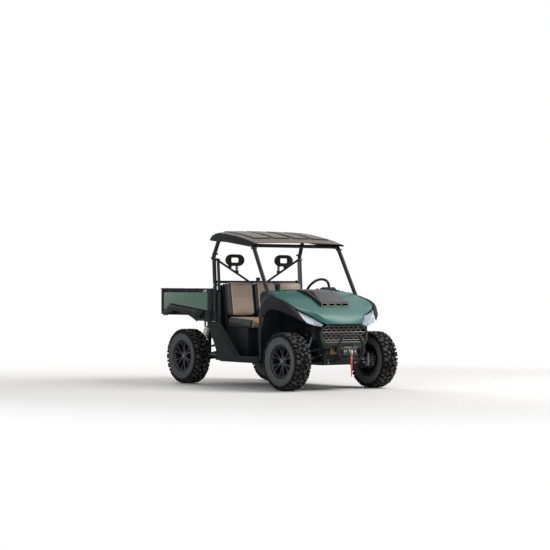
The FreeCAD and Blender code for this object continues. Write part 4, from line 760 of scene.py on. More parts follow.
def padded_shell(bm, held, cap):
    """The shape, voxelled and swollen as cloth while its seams and its back stay where they are."""
    mesh = bpy.data.meshes.new("foam")
    bm.to_mesh(mesh)
    bm.free()
    foam = bpy.data.objects.new("foam", mesh)
    bpy.context.scene.collection.objects.link(foam)
    remesh = foam.modifiers.new("voxels", "REMESH")
    remesh.mode = "VOXEL"
    remesh.voxel_size = 0.0075
    skin = evaluated(foam)
    foam.modifiers.clear()
    foam.data = skin
    start = [v.co.copy() for v in skin.vertices]
    group = foam.vertex_groups.new(name="held")
    group.add([v.index for v in skin.vertices if held(v.co)], 1.0, "REPLACE")
    cloth = foam.modifiers.new("swell", "CLOTH")
    cloth.settings.use_pressure = True
    cloth.settings.uniform_pressure_force = 4.0
    cloth.settings.vertex_group_mass = "held"
    cloth.settings.effector_weights.gravity = 0.0
    cloth.collision_settings.use_self_collision = False
    bpy.context.scene.frame_start = 1
    for step in range(1, SWELL_STEPS + 1):
        bpy.context.scene.frame_set(step)
    for vert, moved, first in zip(skin.vertices, evaluated(foam).vertices, start):
        way = moved.co - first
        vert.co = first + way * min(1.0, cap / max(way.length, 1e-6))
    bpy.context.scene.frame_set(1)
    out = bmesh.new()
    out.from_mesh(skin)
    bmesh.ops.smooth_vert(out, verts=out.verts, factor=0.5, use_axis_x=True, use_axis_y=True, use_axis_z=True)
    bpy.data.objects.remove(foam)
    return out


def seat_pad(kind, half):
    """A back or a cushion, centred on y = 0, with its piping, before it is set in place."""
    shape = bmesh.new()
    edge = half - 0.050
    middle = [-edge + k * edge / 14 for k in range(29)]
    if kind == "back":
        block(shape, (0.004, -half + 0.009, 0.006), (0.108, half - 0.009, 0.408), 0.024)
        skin = padded_shell(shape, lambda co: co.x < 0.012 or (
            co.x > 0.07 and (abs(abs(co.y) - edge) < 0.006 or abs(co.z - 0.218) < 0.004)), 0.011)
        rows = [([(0.3, side * edge, 0.022 + k * 0.0125) for k in range(30)], (-1, 0, 0), 0.0042)
                for side in (-1, 1)]
        rows.append(([(0.3, y, 0.218) for y in middle], (-1, 0, 0), 0.0016))
    else:
        block(shape, (-0.214, -half + 0.009, 0.7325), (0.262, half - 0.009, 0.842), 0.026)
        for vert in shape.verts:
            if vert.co.z > 0.79:
                vert.co.z += (0.262 - vert.co.x) * 0.052 - 0.010
                vert.co.x += 0.012 if vert.co.x > 0.2 else 0.0
        skin = padded_shell(shape, lambda co: co.z < 0.742 or (
            co.z > 0.80 and (abs(abs(co.y) - edge) < 0.006 or abs(co.x - 0.150) < 0.004)), 0.009)
        rows = []
        for side in (-1, 1):
            rows.append(([(-0.190 + k * 0.0148, side * edge, 1.2) for k in range(30)], (0, 0, -1), 0.0042))
            rows.append(([(0.6, side * edge, 0.748 + k * 0.0085) for k in range(8)], (-1, 0, 0), 0.0042))
        rows.append(([(0.150, y, 1.2) for y in middle], (0, 0, -1), 0.0016))
    surface = BVHTree.FromBMesh(skin)
    for points, way, radius in rows:
        hits = [surface.ray_cast(Vector(point), Vector(way))[0] for point in points]
        tube(skin, [hit - Vector(way) * radius * 0.35 for hit in hits if hit], radius, material=1, around=3)
    if kind == "back":
        lean = Matrix.Identity(4)
        lean[0][2] = BACK_LEAN
        bmesh.ops.transform(skin, matrix=Matrix.Translation((-0.2454, 0.0, 0.880)) @ lean, verts=skin.verts)
    return skin


for kind, node in (("back", "seat_backs"), ("cushion", "seat_cushions")):
    for width, places in ((0.406, (("right", -0.390), ("left", 0.390))), (0.356, (("middle", 0.0),))):
        pad = seat_pad(kind, width / 2)
        for place, y in places:
            copy = pad.copy()
            bmesh.ops.translate(copy, verts=copy.verts, vec=(0, y, 0))
            seat = make("seat_%s_%s" % (kind, place), copy, "chassis", "seat_vinyl", vinyl, cream, smooth=60.0,
                        swap=node if place == "right" else "")
            finer = seat.modifiers.new("finer", "SUBSURF")
            finer.levels = 1
            finer.render_levels = 1

# Head restraints: moulded foam rings on steel tubes, on flat posts that are bolted to the cage's
# diagonal braces.
ring_foam = moulded("restraint_foam", (0.020, 0.020, 0.022), 0.6, 600.0)
post_bronze = Finish("post_bronze", (0.30, 0.25, 0.19), 0.5, Metallic=0.2)
post_bronze.wear(40.0, 0.25, 0.38)
STRAIGHT = 0.044
posts = bmesh.new()
for label, side in (("right", -1), ("left", 1)):
    ring = bmesh.new()
    line = []
    for k in range(48):
        turn = math.tau * (k + 0.5) / 48
        shift = math.copysign(STRAIGHT, math.cos(turn))
        line.append(Vector((0.0, math.cos(turn) * 0.058 + shift, math.sin(turn) * 0.0525)))
    tube(ring, line, 0.0222, around=8, closed=True,
         swell=lambda p: 1.0 + 0.72 * min(1.0, max(0.0, abs(p.y) - STRAIGHT) / 0.058) ** 1.5)
    for vert in ring.verts:
        vert.co.x = max(-0.0255, min(0.0255, vert.co.x * 1.15))
    bmesh.ops.translate(ring, verts=ring.verts, vec=(-0.334, side * 0.388, 1.577))
    make("restraint_%s" % label, ring, "chassis", "soft_black", ring_foam, smooth=60.0,
                   swap="head_restraints" if side < 0 else "")
    for y in (0.333, 0.443):
        foot = 1.3145 + (y - 0.158) * 0.554 + 0.0165
        block(posts, (-0.3735, side * y - 0.020, foot), (-0.3665, side * y + 0.020, 1.5105), 0.002)
        block(posts, (-0.3820, side * y - 0.024, foot - 0.010), (-0.3580, side * y + 0.024, foot + 0.018), 0.003,
              material=1)
make("restraint_posts", posts, "chassis", "frame_steel", post_bronze, frame_coat)

# Seat belts: woven webbing from a guide on each rear pillar down to its reel, with the tongue parked
# on it, and a buckle on a stalk beside each seat. The middle belt has its guide on the cross bar.
webbing = Finish("belt_webbing", (0.030, 0.030, 0.032), 0.72, Sheen_Weight=0.2)
rib = webbing.stripes(170.0)
webbing.relief(rib, 0.0006)
webbing.tint(rib * 0.4, (0.070, 0.070, 0.072))
buckle_red = Finish("buckle_red", (0.55, 0.02, 0.015), 0.4)
buckle_red.wear(60.0, 0.2, 0.3)
belts = bmesh.new()
for side in (-1, 1):
    low, high = sorted((side * 0.618, side * 0.664))
    for (x0, z0), (x1, z1) in (((-0.3440, 1.588), (-0.3190, 1.218)), ((-0.3190, 1.218), (-0.3103, 0.780))):
        block(belts, (0, low, -0.0012), (math.hypot(x1 - x0, z1 - z0) + 0.001, high, 0.0012), 0.0004,
              along((x0, 0, z0), (x1, 0, z1)))
    block(belts, (-0.3485, low - 0.004, 1.566), (-0.3385, high + 0.003, 1.596), 0.004, material=1)
    drum(belts, (-0.3400, side * 0.680, 1.604), (-0.3480, side * 0.680, 1.604), 0.010, segments=18, material=2)
    block(belts, (-0.3265, low + 0.002, 1.168), (-0.3130, high - 0.002, 1.200), 0.004, material=1)
    block(belts, (-0.3210, low + 0.010, 1.135), (-0.3185, high - 0.010, 1.170), 0.0008, material=2)
    block(belts, (-0.3160, low - 0.002, 0.716), (-0.2885, high + 0.002, 0.790), 0.005, material=1)
    drum(belts, (-0.302, low - 0.006, 0.755), (-0.302, high + 0.006, 0.755), 0.022, segments=28, bevel=0.003,
         material=1)
    y = side * 0.181
    block(belts, (-0.110, y - 0.0012, 0.840), (-0.096, y + 0.0012, 0.905), 0.0004)
    block(belts, (-0.1185, y - 0.015, 0.896), (-0.0885, y + 0.015, 0.958), 0.005, material=1)
    block(belts, (-0.1115, y - 0.010, 0.9565), (-0.0955, y + 0.010, 0.9605), 0.0012, material=3)
block(belts, (-0.3755, -0.026, 1.3175), (-0.3485, 0.026, 1.359), 0.006, material=1)
block(belts, (-0.3475, -0.021, 1.335), (-0.3455, 0.021, 1.342), 0.0005)
make("belts", belts, "chassis", "webbing", webbing, black_plastic, zinc, buckle_red, swap="seat_belts")

# Rear cab panel: a plastic plate that closes the cab behind the seats. It is pressed with three
# stiffening ribs.
plate = cad_copy("rear_cab_panel", 0.0015)
for z in (0.55, 0.80, 1.05):
    block(plate, (-0.3700, -0.540, z - 0.020), (-0.3650, 0.540, z + 0.020), 0.0022)
make("cab_rear_plate", plate, "chassis", "black_plastic", black_plastic, swap="rear_cab_panel")

# Body sides behind the doors: a slanted moulding in one piece with the sill, with a step line, a
# ribbed strip down its front edge and screwed caps.
sides = cad_copy("side_panels", 0.006, segments=3)
slope = Vector((0.450, 0.0, -0.422)).normalized()
square = Vector((-0.684, 0.0, -0.729))
turn = Matrix((slope, (0.0, 1.0, 0.0), square)).transposed().to_4x4()
for side in (-1, 1):
    face_y = side * 0.7455
    for k in range(30):
        at = Vector((-0.160, side * 0.745, 0.777)) + slope * (0.0185 * k) + square * 0.026
        block(sides, (-0.0045, -0.002, -0.019), (0.0045, 0.0028, 0.019), 0.0012, Matrix.Translation(at) @ turn)
    for reach in (0.055, 0.062):
        start = Vector((-0.176, face_y, 0.792)) + square * reach
        tube(sides, [start, start + slope * 0.555], 0.0018, around=2)
    tube(sides, [(-0.462, face_y, 0.806), (-0.385, face_y, 0.806), (-0.190, face_y, 0.790)], 0.0020, around=2)
    tube(sides, [(-0.160, face_y, 0.336), (0.650, face_y, 0.336)], 0.0020, around=2)
for x, z in ((-0.452, 0.890), (-0.400, 0.890), (0.60, 0.362), (0.34, 0.362)):
    caps(sides, x, 0.744, 0.7482, z)
make("body_sides", sides, "chassis", "black_plastic", black_plastic, swap="side_panels")

# Dashboard: a grained moulding with a hooded display in front of the driver, four round vents, a row
# of rocker switches, a glove box lid and a grab bar for the passengers.
screen = Finish("display_glass", (0.008, 0.012, 0.016), 0.08, Coat_Weight=1.0, Coat_Roughness=0.03)
screen.wear(30.0, 0.06, 0.05)
dash = cad_copy("dashboard", 0.004, 28.0)
place = Matrix.Translation((0.4935, 0.420, 1.188)) @ Matrix.Rotation(math.radians(8), 4, "Y")
block(dash, (-0.004, -0.080, -0.026), (0.003, 0.080, 0.026), 0.002, place, 1)
block(dash, (-0.007, -0.088, -0.033), (0.001, 0.088, -0.026), 0.002, place)
for y in (-0.530, -0.160, 0.160, 0.555):
    drum(dash, (0.4885, y, 1.112), (0.4765, y, 1.112), 0.038, 0.036, segments=36, bevel=0.003)
    for k in range(5):
        z = 1.090 + k * 0.011
        block(dash, (0.4740, y - 0.030, z - 0.0015), (0.4775, y + 0.030, z + 0.0015))
for k in range(6):
    y = -0.085 + k * 0.030
    block(dash, (0.4790, y, 1.060), (0.4885, y + 0.022, 1.098), 0.002, material=1)
block(dash, (0.4895, -0.480, 1.000), (0.5060, -0.220, 1.072), 0.004)
tube(dash, eased([(0.500, -0.500, 1.150), (0.452, -0.490, 1.156), (0.446, -0.400, 1.158), (0.446, -0.300, 1.158),
                  (0.452, -0.210, 1.156), (0.500, -0.200, 1.150)]), 0.011)
tube(dash, [(0.492, 0.185, 1.040), (0.440, 0.185, 1.075), (0.405, 0.185, 1.100)], 0.0065, material=2)
bmesh.ops.create_uvsphere(dash, u_segments=20, v_segments=12, radius=0.021,
                          matrix=Matrix.Translation((0.398, 0.185, 1.106)))
make("dash_moulding", dash, "chassis", "black_plastic", black_plastic, screen, zinc, swap="dashboard")

# Steering column and wheel: a padded vinyl rim on three flat spokes, with a plain cap on the hub.
# The housing at the front axle guides the rack.
make("column_and_housing", cad_copy("steering_column"), "chassis", "frame_steel", frame_coat, smooth=44.0,
     swap="steering_column")
grip = moulded("wheel_grip", (0.018, 0.018, 0.019), 0.5, 700.0)
GRIP_RADIUS = 0.0165
tilt = math.radians(30.0)
rake = Matrix(((-math.cos(tilt), 0, math.sin(tilt)), (0, 1, 0), (math.sin(tilt), 0, math.cos(tilt))))
place = Matrix.Translation((0.333, 0.420, 1.188)) @ rake.transposed().to_4x4()
helm = bmesh.new()
angles = [math.tau * k / 14 for k in range(14)]
lathe(helm, [(GRIP_RADIUS * math.sin(a), 0.1733 + GRIP_RADIUS * math.cos(a)) for a in angles], place, 72, closed=True)
lathe(helm, [(-0.020, 0.0106), (-0.020, 0.033), (0.012, 0.034), (0.019, 0.030), (0.0235, 0.018), (0.0245, 0.0)],
      place, 40)
for degrees in (0, 180, 270):
    spoke = place @ Matrix.Rotation(math.radians(degrees), 4, "X")
    block(helm, (-0.004, 0.028, -0.016), (0.004, 0.168, 0.016), 0.0035, spoke, 1)
    block(helm, (0.003, 0.060, -0.007), (0.0055, 0.120, 0.007), 0.002, spoke)
make("steering_wheel_rim", helm, "steering_wheel", "soft_black", grip, frame_coat, smooth=50.0,
     swap="steering_wheel")

# Front fenders: one black moulding on each side, from the sill over the wheel to the headlight,
# with a rolled lip round the arch, and the inner arch liner clipped behind it.
marker_amber = Finish("marker_amber", (0.62, 0.20, 0.02), 0.3, Coat_Weight=0.6)
marker_amber.relief(marker_amber.cells(260.0), 0.0006, 0.4)
fenders = cad_copy("front_fenders", 0.0015, 50.0)
arch = [(0.705, 0.7395, 0.345), (0.703, 0.7435, 0.600), (0.715, 0.7455, 0.777), (0.746, 0.7475, 0.893),
        (0.800, 0.7475, 0.935), (0.862, 0.7475, 0.966), (0.930, 0.7455, 0.980), (0.990, 0.7425, 0.976),
        (1.060, 0.7395, 0.962), (1.121, 0.7315, 0.950), (1.168, 0.7095, 0.930), (1.205, 0.6815, 0.910),
        (1.245, 0.6425, 0.884), (1.282, 0.5955, 0.850), (1.311, 0.5640, 0.827)]
for side in (-1, 1):
    tube(fenders, [(x, side * y, z) for x, y, z in arch], 0.0038)
    block(fenders, (0.6320, side * 0.7385, 0.796), (0.6560, side * 0.7462, 0.856), 0.003, material=1)
for x, z in ((0.678, 0.42), (0.676, 0.56), (0.676, 0.70)):
    caps(fenders, x, 0.7395, 0.7470, z)
make("fender_mouldings", fenders, "chassis", "black_plastic", black_plastic, marker_amber, smooth=38.0,
     swap="front_fenders")
make("arch_liners", cad_copy("wheel_liners"), "chassis", "black_plastic", black_plastic, smooth=40.0,
     swap="wheel_liners")

# Front fascia: a dark green moulding with a six-sided opening. A hexagon mesh with two cross bars
# is clipped inside it, and the finned radiator stands behind the mesh. The mesh's front faces are
# pale, a painted highlight, and a pale strip along the opening's lower lip is a painted highlight too.
dark_green = Finish("fascia_dark_green", (0.010, 0.019, 0.019), 0.40, Specular_IOR_Level=0.3, Coat_Weight=0.08,
                    Coat_Roughness=0.2)
dark_green.relief(dark_green.noise(240.0, 2.0), 0.0002, 0.3)
dark_green.wear(8.0, 0.2, 0.22, 5.0)
fascia = cad_copy("front_fascia", 0.008, segments=3)
for side in (-1, 1):
    for y, z in ((0.347, 0.665), (0.322, 0.560), (0.200, 0.536)):
        drum(fascia, (1.3930, side * y, z), (1.3965, side * y, z), 0.009, 0.008, segments=18, bevel=0.001)
make("fascia_moulding", fascia, "chassis", "gloss_black", dark_green, swap="front_fascia")

mesh_black = moulded("grille_black", (0.018, 0.020, 0.021), 0.42)
grille_face_highlight = moulded("grille_face_painted_highlight", (0.36, 0.33, 0.26), 0.42)
bar_grey = moulded("grille_bar_grey", (0.34, 0.33, 0.31), 0.45)
GRILLE_X = 1.3765
CELL_PITCH = 0.076
ROW_PITCH = 0.0320
opening = [(0.2350, 0.7750), (0.3210, 0.7340), (0.3310, 0.7000), (0.3250, 0.6204), (0.2840, 0.5756)]
opening += [(-y, z) for y, z in reversed(opening)]
sides_of_opening = list(zip(opening, opening[1:] + opening[:1]))
flat = Matrix.Translation((GRILLE_X, 0.0, 0.6755)) @ Matrix(((0, 0, 1), (1, 0, 0), (0, 1, 0))).to_4x4()
grid = bmesh.new()
for row in range(-5, 3):
    for column in range(-5, 6):
        spot = Matrix.Translation((column * CELL_PITCH + (row % 2) * CELL_PITCH / 2, row * ROW_PITCH + 0.0435, 0.0))
        cell = spot @ Matrix.Diagonal((0.04388, 0.02133, 1.0, 1.0)) @ Matrix.Rotation(math.pi / 6, 4, "Z")
        bmesh.ops.create_circle(grid, cap_ends=True, segments=6, radius=1.0, matrix=flat @ cell)
bmesh.ops.remove_doubles(grid, verts=grid.verts, dist=0.0009)
bmesh.ops.inset_individual(grid, faces=grid.faces[:], thickness=0.0030)
bmesh.ops.delete(grid, geom=[f for f in grid.faces if len(f.verts) == 6], context="FACES")
for (y0, z0), (y1, z1) in sides_of_opening:
    bmesh.ops.bisect_plane(grid, geom=grid.verts[:] + grid.edges[:] + grid.faces[:], plane_co=(GRILLE_X, y0, z0),
                           plane_no=Vector((0.0, z0 - z1, y1 - y0)), clear_outer=True)
bmesh.ops.recalc_face_normals(grid, faces=grid.faces)
bmesh.ops.solidify(grid, geom=grid.faces[:], thickness=0.0045)
# The front faces of the mesh take the pale finish, a painted highlight; the back faces stay black.
for face in grid.faces:
    if abs(face.normal.x) > 0.9:
        face.material_index = 2 if face.calc_center_median().x > GRILLE_X - 0.0001 else 0
for (y0, z0), (y1, z1) in sides_of_opening:
    block(grid, (0.0, -0.0028, -0.0028), (math.hypot(y1 - y0, z1 - z0), 0.0028, 0.0028), 0.0008,
          along((1.3745, y0, z0), (1.3745, y1, z1)))
# The lowest bar lies on the opening's lower lip: a pale strip that is a painted highlight. The upper two are the
# cross bars.
for z, half in ((0.7000, 0.3295), (0.6060, 0.3080), (0.5800, 0.2840)):
    block(grid, (1.3790, -half, z - 0.0042), (1.3870, half, z + 0.0042), 0.001, material=1)
make("grille_mesh", grid, "chassis", "black_plastic", mesh_black, bar_grey, grille_face_highlight, swap="grille")

fins = Finish("radiator_fins", (0.025, 0.026, 0.028), 0.5, Metallic=0.5)
rows = fins.stripes(90.0)
fins.relief(rows, 0.002)
# The stripes are tinted darker: painted shade between the fins.
fins.tint(rows * 0.8, (0.006, 0.006, 0.007))
core = bmesh.new()
block(core, (1.328, -0.262, 0.565), (1.352, 0.262, 0.755), 0.003)
for side in (-1, 1):
    block(core, (1.325, side * 0.262, 0.560), (1.355, side * 0.292, 0.760), 0.006, material=1)
block(core, (1.3000, -0.430, 0.600), (1.3060, 0.430, 0.812), 0.002, material=1)
make("radiator", core, "chassis", "bare_steel", fins, black_plastic)

# Headlights: a dark bowl with four square reflectors under a clear lens that sweeps up and back
# along the bonnet's edge.
bowl_black = Finish("lamp_bowl", (0.020, 0.024, 0.028), 0.34, Coat_Weight=0.3)
bowl_black.wear(60.0, 0.2, 0.2)
# The reflector's faint glow, fed by its facets below, is a painted reflection.
reflector = Finish("lamp_reflector", (0.30, 0.38, 0.48), 0.32, Metallic=0.3, Emission_Strength=0.06)
facets = reflector.cells(160.0)
reflector.relief(facets, 0.0006, 0.2)
reflector.set("Emission Color", reflector.mix(facets, (0.75, 0.85, 1.0, 1.0), (0.35, 0.45, 0.6, 1.0)))
lens_clear = Finish("lamp_lens", (0.34, 0.42, 0.52), 0.22, Coat_Weight=0.5, Coat_Roughness=0.12)
flutes = lens_clear.stripes(22.0, "DIAGONAL")
lens_clear.set("Alpha", flutes * 0.08 + 0.55)
lens_clear.set("Roughness", flutes * 0.06 + 0.20)
LAMP_FACING = (0.76, 0.0, 0.65)


def lamp_shell(front, thick):
    """The headlights' front or everything behind it, thickened."""
    lamp = cad_copy("headlights")
    drop = [f for f in lamp.faces if (f.normal.dot(LAMP_FACING) > 0.6) != front]
    bmesh.ops.delete(lamp, geom=drop, context="FACES")
    bmesh.ops.solidify(lamp, geom=lamp.faces[:], thickness=thick)
    bmesh.ops.recalc_face_normals(lamp, faces=lamp.faces)
    return lamp


bowls = lamp_shell(False, 0.0025)
# Lamp cells: place and size
for x, y, z, size in ((1.2660, 0.507, 0.8740, 0.034), (1.3020, 0.458, 0.8350, 0.036),
                      (1.3350, 0.392, 0.8000, 0.030), (1.3590, 0.335, 0.7750, 0.016)):
    for side in (-1, 1):
        turn = (Matrix.Translation((x, side * y, z)) @ Matrix.Rotation(side * 0.70, 4, "X")
                @ Matrix.Rotation(-0.62, 4, "Y"))
        block(bowls, (-0.010, -size * 0.62, -size * 0.5), (0.002, size * 0.62, size * 0.5), 0.002, turn, 1)
        drum(bowls, turn @ Vector((0.001, 0, 0)), turn @ Vector((0.005, 0, 0)), size * 0.36, size * 0.3,
             segments=24, material=1)
make("lamp_bowls", bowls, "chassis", "lamp_lens", bowl_black, reflector)
make("lamp_lenses", lamp_shell(True, 0.0018), "chassis", "lamp_lens", lens_clear, swap="headlights")

# Bull bar: bent steel tube in front of the grille, powder coated. It is welded to two foot plates
# that are bolted to the frame.
guard = cad_copy("bull_bar")
for side in (-1, 1):
    for z in (0.330, 0.362):
        bolt(guard, (1.3383, side * 0.207, z), (1, 0, 0))
make("bull_bar_tube", guard, "chassis", "frame_steel", frame_coat, zinc, smooth=44.0, swap="bull_bar")

# Winch: a rope drum between its motor and its gear case, bolted to the deck plate, with a cast
# fairlead in front. The rope is synthetic and holds the forged hook.
winch_coat = Finish("winch_enamel", (0.030, 0.036, 0.033), 0.46, Metallic=0.1)
winch_coat.relief(winch_coat.noise(300.0, 2.0), 0.0003, 0.4)
winch_coat.stain(0.35, (0.05, 0.05, 0.045), 12.0, 5.0, 0.45, 0.75)
rope_fibre = Finish("rope_fibre", (0.33, 0.34, 0.30), 0.8)
twist = rope_fibre.stripes(95.0, "DIAGONAL")
rope_fibre.relief(twist, 0.0012)
rope_fibre.tint(twist * 0.35, (0.12, 0.12, 0.10))
gear = cad_copy("winch", 0.003)
reel = Matrix.Translation((1.442, 0.0, 0.487)) @ OUTWARD
for k in range(6):
    fin = -0.128 + k * 0.011
    lathe(gear, [(fin, 0.042), (fin, 0.0455), (fin + 0.004, 0.0455), (fin + 0.004, 0.042)], reel, 36)
lathe(gear, [(-0.1305, 0.0), (-0.1345, 0.020), (-0.1345, 0.034), (-0.1300, 0.042)], reel, 36)
wound = [(-0.058, 0.030)]
for k in range(15):
    wound += [(-0.056 + k * 0.0082 + shift, radius) for shift, radius in (
        (0.0005, 0.0385), (0.0022, 0.0405), (0.0041, 0.0410), (0.0060, 0.0405), (0.0077, 0.0385))]
lathe(gear, wound + [(0.068, 0.030)], reel, 40, material=1)
for y in (0.084, 0.116):
    for z in (0.446, 0.518):
        bolt(gear, (1.4762, y, z), (1, 0, 0), 0.006, 2)
block(gear, (1.425, 0.088, 0.5315), (1.458, 0.112, 0.5385), 0.003)
for side in (-1, 1):
    bolt(gear, (1.4952, side * 0.082, 0.471), (1, 0, 0), 0.010, 2)
    drum(gear, (1.487, side * 0.046, 0.464), (1.487, side * 0.046, 0.488), 0.007, segments=16, material=2)
drum(gear, (1.470, 0.0, 0.482), (1.4958, 0.0, 0.4765), 0.0045, segments=14, material=1)
make("winch_gear", gear, "chassis", "frame_steel", winch_coat, rope_fibre, zinc, swap="winch")

hook_steel = Finish("forged_hook", (0.56, 0.57, 0.56), 0.36, Metallic=0.9)
hook_steel.wear(55.0, 0.25, 0.24, 4.0)
hook_steel.relief(hook_steel.noise(120.0, 3.0), 0.0006, 0.4)
EYE_RADIUS = 0.015
hook = bmesh.new()
drum(hook, (1.4953, 0, 0.476), (1.5030, 0, 0.476), 0.018, 0.0165, segments=28, bevel=0.0015)
drum(hook, (1.5020, 0, 0.476), (1.5200, 0, 0.4745), 0.0105, 0.0092, segments=24)
tube(hook, eased([(1.518, 0, 0.4748), (1.524, 0, 0.4740), (1.530, 0, 0.4722)]), 0.0078, around=6)
angles = [math.radians(a) for a in range(0, 360, 12)]
tube(hook, [(1.529 + EYE_RADIUS * math.sin(a), 0, 0.452 + EYE_RADIUS * math.cos(a)) for a in angles], 0.0058,
     around=6, closed=True)
drum(hook, (1.529, -0.0085, 0.4700), (1.529, 0.0085, 0.4700), 0.0042, segments=16)
make("winch_hook_forged", hook, "chassis", "bare_steel", hook_steel, smooth=50.0, swap="winch_hook")

# Pull strap: red woven webbing that hangs from the winch hook. It is sewn in two layers with white
# thread and cut to a point.
red_web = Finish("red_webbing", (0.72, 0.055, 0.018), 0.75, Sheen_Weight=0.25)
weave = red_web.stripes(130.0)
red_web.relief(weave, 0.0008)
red_web.tint(weave * 0.3, (0.42, 0.02, 0.01))
thread = Finish("white_thread", (0.75, 0.70, 0.62), 0.8)
thread.wear(400.0, 0.2, 0.7)
STRAP_TOP = 0.4306
STRAP_LENGTH = 0.2656
strap = bmesh.new()
block(strap, (1.5272, -0.013, STRAP_TOP - STRAP_LENGTH), (1.5308, 0.013, STRAP_TOP), 0.0006)
bmesh.ops.bisect_plane(strap, geom=strap.verts[:] + strap.edges[:] + strap.faces[:], plane_co=(0, 0, 0.300),
                       plane_no=(0, 0, 1))
for vert in strap.verts:
    if vert.co.z < 0.20:
        vert.co.y *= 0.36
for y in (-0.0085, 0.0085):
    block(strap, (1.5266, y - 0.0006, 0.345), (1.5314, y + 0.0006, 0.425), material=1)
pull = make("pull_strap", strap, "chassis", "red_webbing", red_web, thread, swap="hook_strap")

# Tow hook: an upright loop of steel rod, painted amber. It is welded to a foot that is bolted to
# the winch deck.
amber_paint = Finish("amber_paint", (0.62, 0.33, 0.05), 0.35, Coat_Weight=0.4)
amber_paint.wear(70.0, 0.2, 0.28)
tow = bmesh.new()
tube(tow, eased([(1.340, -0.124, 0.433), (1.341, -0.127, 0.470), (1.342, -0.133, 0.508), (1.342, -0.146, 0.526),
                 (1.342, -0.158, 0.508), (1.341, -0.162, 0.470), (1.340, -0.160, 0.437)]), 0.0075, around=6)
block(tow, (1.325, -0.172, 0.4312), (1.358, -0.112, 0.4375), 0.0015)
make("tow_hook", tow, "chassis", "frame_steel", amber_paint, smooth=50.0)

# Bonnet: a painted skin with a crowned top, a crease along each side and a short side face.
# It hinges at the rear, and the paint is metallic under clear lacquer.
paint = Finish("metallic_green", (0.020, 0.115, 0.098), 0.5, Metallic=0.15, Coat_Weight=0.16, Coat_Roughness=0.22)
paint.set("Base Color", paint.mix(paint.cells(2600.0).between(0.1, 0.9), (0.028, 0.138, 0.120, 1.0),
                                  (0.014, 0.088, 0.078, 1.0)))
paint.wear(3.0, 0.10, 0.44, 5.0)
paint.relief(paint.noise(700.0, 2.0), 0.00008, 0.15)
make("bonnet_skin", cad_copy("hood_panel", 0.0022, 30.0, 3), "hood", "body_green", paint, smooth=40.0,
     swap="hood_panel")

# Bonnet scoop: a moulded duct with four framed slots in its front face, screwed on the bonnet.
# Its flat faces are grey, painted light where light falls on them, and its steep ones black. A thin dark sheet tapers
# forward along its right side: painted shade for a recess.
slot_frame = moulded("slot_frame_cream", (0.62, 0.60, 0.50), 0.45)
scoop_painted_lit_grey = moulded("scoop_painted_lit_grey", (0.105, 0.105, 0.112), 0.55)
recess_painted_shade = Finish("recess_painted_shade", (0.006, 0.006, 0.007), 0.8, Specular_IOR_Level=0.15)
recess_painted_shade.wear(20.0, 0.1, 0.7)
SLOT_PITCH = 0.1075
WEDGE_LENGTH = 0.310
duct = cad_copy("hood_scoop", 0.0022)
# Steep faces take the black; the flat ones keep the lighter grey, a painted light.
steep(duct, 0.86, 3)
for k in range(4):
    y = -0.215 + SLOT_PITCH * (k + 0.5)
    # The four bars of a slot's frame: foot, left, head, right
    for low, high in (((y - 0.0468, 1.0113), (y + 0.0468, 1.0145)), ((y + 0.0436, 1.0113), (y + 0.0468, 1.0469)),
                      ((y - 0.0468, 1.0437), (y + 0.0468, 1.0469)), ((y - 0.0468, 1.0113), (y - 0.0436, 1.0469))):
        block(duct, (1.2070, *low), (1.2112, *high), 0.0006, material=1)
for side in (-1, 1):
    for k in range(3):
        tube(duct, [(0.760 + k * 0.012, side * 0.2152, 1.188 - k * 0.010),
                    (0.900 + k * 0.040, side * 0.2152, 1.170 - k * 0.012)], 0.0014, material=3, around=2)
for x, head in ((0.765, 1.2138), (0.905, 1.1925)):
    for side in (-1, 1):
        drum(duct, (x, side * 0.195, 1.196), (x, side * 0.195, head), 0.008, segments=16)
crown = BVHTree.FromBMesh(duct)
# A thin dark sheet laid along the scoop's right side: painted shade for a recess.
wedge = bmesh.new()
block(wedge, (0.0, 0.0, 0.0), (WEDGE_LENGTH, 0.095, 0.0016))
bmesh.ops.subdivide_edges(wedge, edges=wedge.edges[:], cuts=6, use_grid_fill=True)
for vert in wedge.verts:
    width = vert.co.y * max(0.04, 1.0 - vert.co.x / WEDGE_LENGTH)
    spot = Vector((0.845 + vert.co.x, width - 0.192, 1.4))
    vert.co = crown.ray_cast(spot, Vector((0, 0, -1)))[0] + Vector((0, 0, 0.0004 + vert.co.z))
add(duct, wedge, material=2)
make("scoop_duct", duct, "hood", "black_plastic", scoop_painted_lit_grey, slot_frame, recess_painted_shade, black_plastic,
     swap="hood_scoop")

# Load bed: a black moulded tub with a ribbed floor and ribbed walls, in a frame of side rails whose
# upper band holds slanted tie-down posts. It tilts on two steel pins.
tub = cad_copy("bed_tub", 0.004)
for k in range(17):
    y = -0.560 + k * 0.070
    block(tub, (-1.500, y - 0.014, 0.8795), (-0.420, y + 0.014, 0.8855), 0.0025)
for k in range(10):
    x = -1.460 + k * 0.115
    for side in (-1, 1):
        block(tub, (x - 0.018, side * 0.6405, 0.900), (x + 0.018, side * 0.6355, 1.170), 0.002)
for k in range(9):
    y = -0.520 + k * 0.130
    block(tub, (-0.3985, y - 0.018, 0.900), (-0.3925, y + 0.018, 1.170), 0.002)
make("bed_liner", tub, "bed", "black_plastic", black_plastic, swap="bed_tub")

